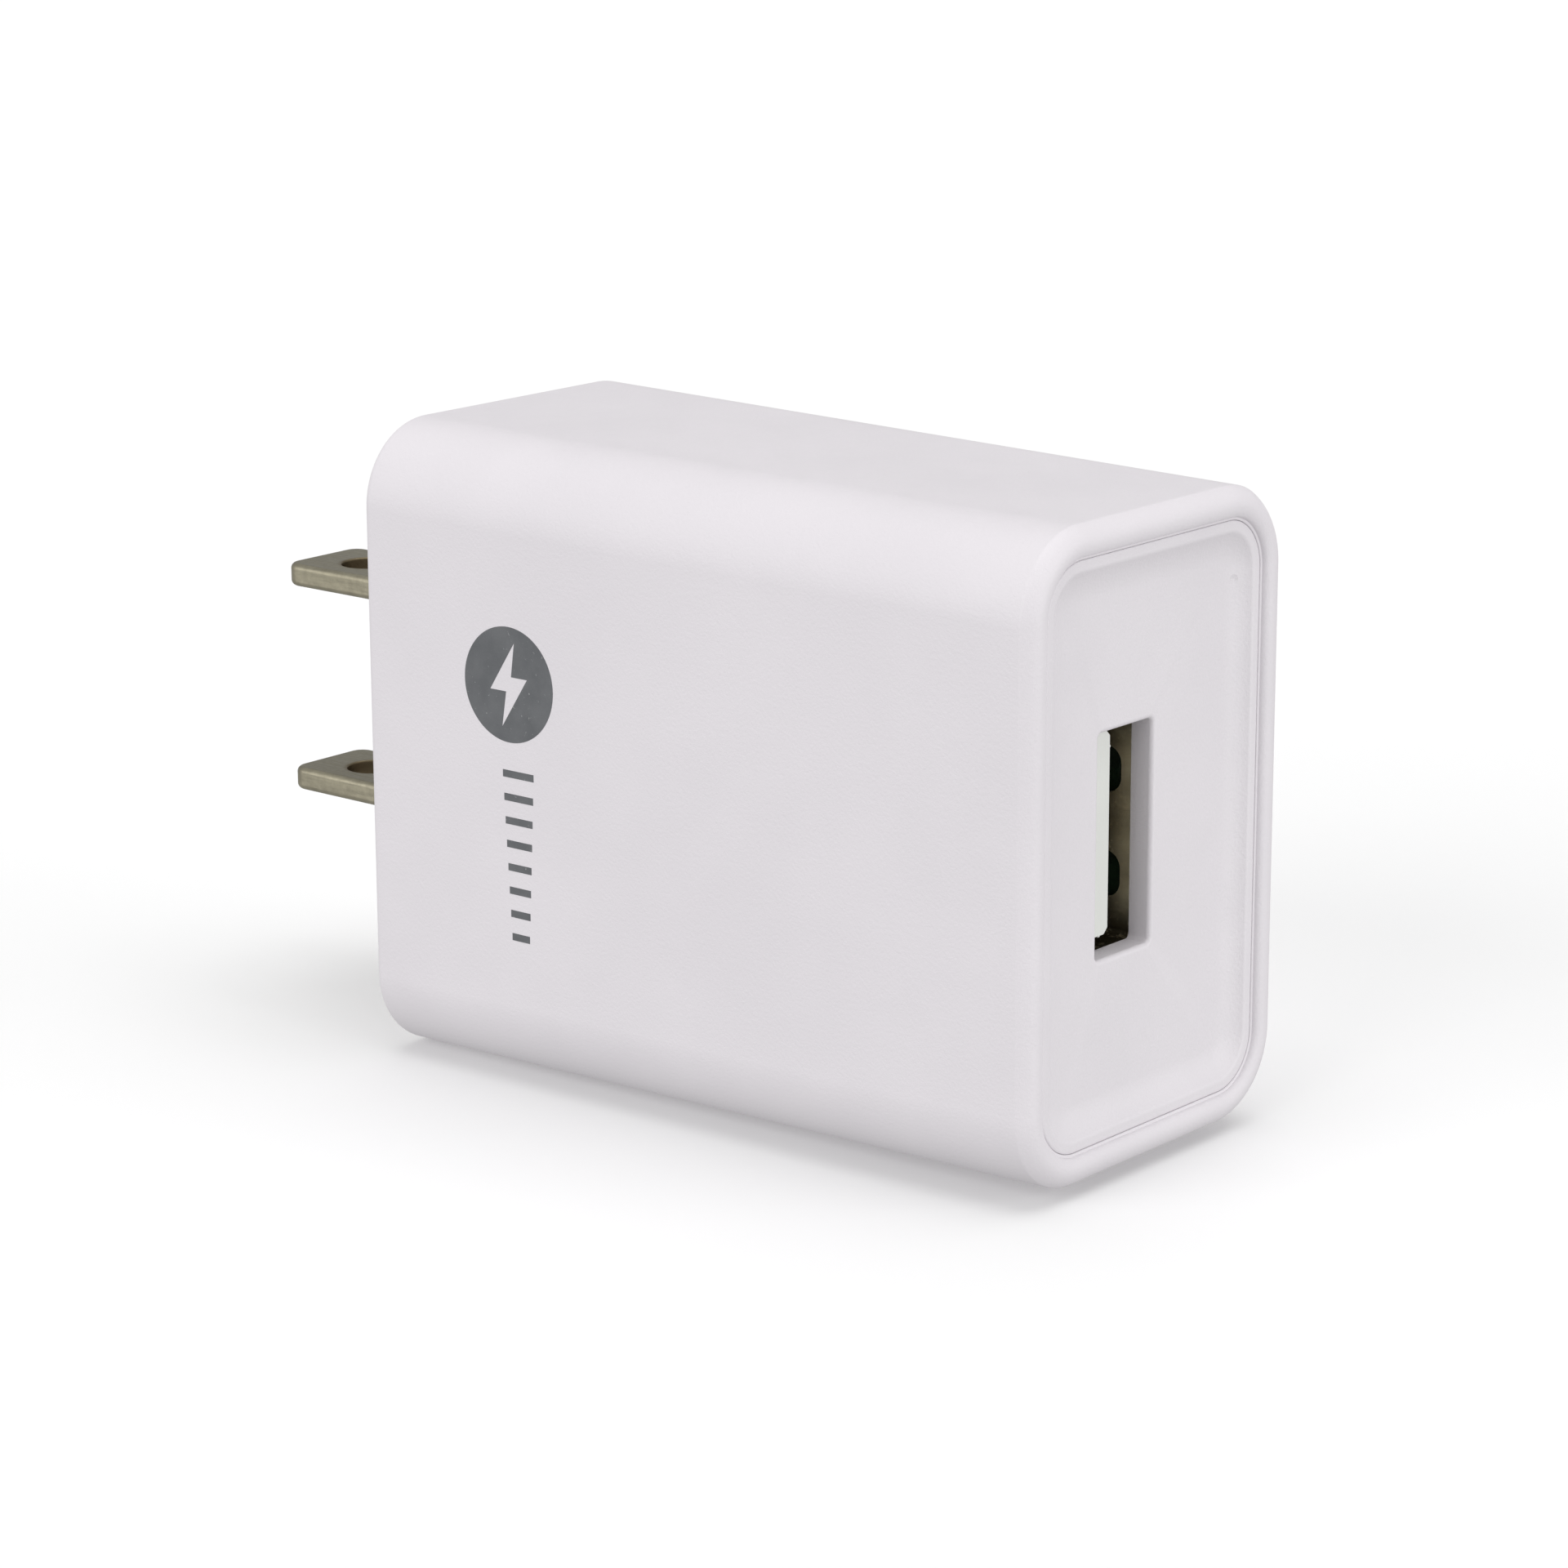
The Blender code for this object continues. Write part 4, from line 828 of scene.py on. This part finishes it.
def make_tongue():
    """The tongue that carries the contacts, and the block behind it that fills the shell."""
    power_low, power_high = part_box("usb_contact_power")
    ground_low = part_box("usb_contact_ground")[0]
    middle = (power_high.z + ground_low.z) / 2
    bottom, top = middle - TONGUE_HALF, middle + TONGUE_HALF
    left, right = power_low.x - TONGUE_THICKNESS, power_low.x
    front, rear = tongue_low.y, tongue_high.y - TONGUE_REAR
    chamfer = TONGUE_CHAMFER
    outline = [(left, bottom), (right - chamfer, bottom), (right, bottom + chamfer),
               (right, top - chamfer), (right - chamfer, top), (left, top)]
    work = bmesh.new()
    loft(work, [[(x, rear, z) for x, z in outline], [(x, front, z) for x, z in outline]], False)
    bmesh.ops.recalc_face_normals(work, faces=work.faces)
    soften(work, work.edges[:], TONGUE_EDGE, TONGUE_EDGE_SEGMENTS)
    tongue = finished("usb_tongue_moulding", work, "port_plastic", "usb_tongue")
    grooves = []
    for name in CONTACTS:
        low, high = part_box(name)
        work = block((right - CONTACT_GROOVE, low.y - CONTACT_FIT, low.z - CONTACT_FIT),
                     (right + CONTACT_CLEAR, high.y, high.z + CONTACT_FIT))
        grooves.append(tool(name + "_groove", work))
    cut(tongue, grooves)
    # two small gate marks left by the mould on the end face's edges
    marks = bmesh.new()
    for x, z in ((right - GATE_INSIDE, top - SIDE_GATE), (right - BOTTOM_GATE, bottom + GATE_INSIDE)):
        bmesh.ops.create_icosphere(marks, subdivisions=2, radius=GATE_RADIUS,
                                   matrix=Matrix.Translation((x, front + GATE_DEPTH, z)))
    cut(tongue, [tool("gate_marks", marks)], "UNION")
    even_shading(tongue)

    half_width, half_height = (size - BLOCK_FIT for size in SHELL_INNER)
    work = rounded_block((PORT_X - half_width, tongue_low.y + BLOCK_START, -half_height),
                         (PORT_X + half_width, tongue_high.y, half_height), BLOCK_EDGE)
    even_shading(finished("usb_tongue_block", work, "port_plastic"))


def make_contacts():
    """Each contact strip bows a little out of its groove and has bevelled edges."""
    for name in CONTACTS:
        low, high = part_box(name)
        sheet, edge = high.x - low.x, CONTACT_EDGE
        rings = []
        for step in range(CONTACT_STEPS + 1):
            along = step / CONTACT_STEPS
            y = low.y + (high.y - low.y) * along
            x = low.x - CONTACT_SINK + CONTACT_BOW * math.sin(math.pi * min(1.0, 2 * along)) ** 2
            rings.append([(x, y, low.z + edge), (x, y, high.z - edge), (x + edge, y, high.z),
                          (x + sheet - edge, y, high.z), (x + sheet, y, high.z - edge),
                          (x + sheet, y, low.z + edge), (x + sheet - edge, y, low.z), (x + edge, y, low.z)])
        even_shading(lofted(name + "_strip", rings, "contact_gold", name))


# ---------------------------------------------------------------- print on the left side

def on_left_side(work):
    """Lays a flat bmesh, X along -Y and Y along Z, on the body's left side."""
    for vert in work.verts:
        along, up, out = vert.co
        x = -(REAR_HALF[0] - SIDE_TAPER * along / BODY_DEPTH + out)
        vert.co = (x, -along, up)


def make_print():
    """A plain bolt in a disc, and a row of bars below it, where the real one has a printed mark."""
    turns = (2 * math.pi * step / MARK_STEPS for step in range(MARK_STEPS))
    disc, bolt = ([(MARK_CENTRE[0] + MARK_RADIUS * x, MARK_CENTRE[1] + MARK_RADIUS * z) for x, z in corners]
                  for corners in ([(math.cos(a), math.sin(a)) for a in turns], BOLT))
    work = outline_mesh([disc, bolt], INK_BOTTOM, INK_TOP)
    on_left_side(work)
    finished("side_mark", work, "print_ink")

    bars = bmesh.new()
    for k in range(BAR_COUNT):
        half = BAR_HALF - BAR_SHRINK * k
        left, right = BAR_MIDDLE - half, BAR_MIDDLE + half
        top = BAR_TOP - BAR_PITCH * k
        bottom = top - BAR_THICKNESS
        outline = [(left, top), (right, top), (right, bottom), (left, bottom)]
        mesh = mesh_of("bar", outline_mesh([outline], INK_BOTTOM, INK_TOP))
        bars.from_mesh(mesh)
        bpy.data.meshes.remove(mesh)
    on_left_side(bars)
    finished("side_bars", bars, "print_ink")


# ---------------------------------------------------------------- the CAD nodes that stay

def finish_inner_parts():
    """Gives the CAD nodes that no piece stands for the finish of their material slot."""
    for part in frame["record"]["subparts"]:
        node = frame["nodes"][part["node"]]
        if not node.hide_render:
            node.data.materials.clear()
            node.data.materials.append(materials[part["material_slot"]])


# ---------------------------------------------------------------- floor, light and camera

def make_floor():
    """White paper that shows soft shadows but neither reflects light to the part nor blocks it."""
    work = bmesh.new()
    bmesh.ops.create_grid(work, x_segments=FLOOR_CELLS, y_segments=FLOOR_CELLS, size=FLOOR_HALF)
    bmesh.ops.translate(work, verts=work.verts, vec=(0, 0, cad_box[0].z - FLOOR_GAP))
    mesh = mesh_of("floor", work)
    floor = in_scene("floor", mesh)
    floor.visible_diffuse = False
    floor.visible_glossy = False
    floor.visible_shadow = False
    finish = Finish("floor_paper")
    paper = finish.spread(finish.noise(0.02, 2.0), 0.3, 0.7, 0.0, 1.0)
    finish.colour(finish.blend(paper, (0.97, 0.97, 0.97), (0.96, 0.96, 0.96)))
    finish.set(roughness=0.9, specular_ior_level=0.1)
    mesh.materials.append(finish.material)


def make_world():
    """An even white surround."""
    world = bpy.data.worlds.new("studio")
    world.use_nodes = True
    background = world.node_tree.nodes["Background"]
    background.inputs["Color"].default_value = (1.0, 1.0, 1.0, 1.0)
    background.inputs["Strength"].default_value = WORLD_STRENGTH
    bpy.context.scene.world = world


def make_light(name, towards, strength, glossy):
    """A broad, distant light from the direction towards, as a large softbox gives."""
    light = bpy.data.lights.new(name, "SUN")
    light.energy = strength
    light.angle = LIGHT_ANGLE
    item = in_scene(name, light)
    item.visible_glossy = glossy
    item.rotation_mode = "QUATERNION"
    item.rotation_quaternion = (-Vector(towards)).to_track_quat("-Z", "Y")


def make_camera():
    """A long lens, aimed a little left of and below the body's middle."""
    azimuth, elevation, roll = CAMERA_AZIMUTH, CAMERA_ELEVATION, CAMERA_ROLL
    back = Vector((math.sin(azimuth) * math.cos(elevation), -math.cos(azimuth) * math.cos(elevation),
                   math.sin(elevation)))
    right = Vector((math.cos(azimuth), math.sin(azimuth), 0))
    up = back.cross(right)
    place = (Vector((0, -BODY_DEPTH / 2, 0)) + back * CAMERA_DISTANCE + right * CAMERA_AIM[0]
             + up * CAMERA_AIM[1])
    across = right * math.cos(roll) + up * math.sin(roll)
    upward = up * math.cos(roll) - right * math.sin(roll)
    camera = bpy.data.cameras.new("camera")
    camera.lens = CAMERA_LENS
    camera.sensor_width = CAMERA_SENSOR
    camera.clip_start = CAMERA_CLIP
    item = in_scene("camera", camera)
    turn = Matrix((across, upward, back)).transposed().to_4x4()
    item.matrix_world = Matrix.Translation(place) @ turn
    bpy.context.scene.camera = item


make_housing()
make_cover()
make_blades()
make_shell()
make_tongue()
make_contacts()
make_print()
finish_inner_parts()
make_floor()
make_world()
for name, towards, strength, glossy in LIGHTS:
    make_light(name, towards, strength, glossy)
make_camera()
bpy.context.scene.view_settings.view_transform = "Standard"
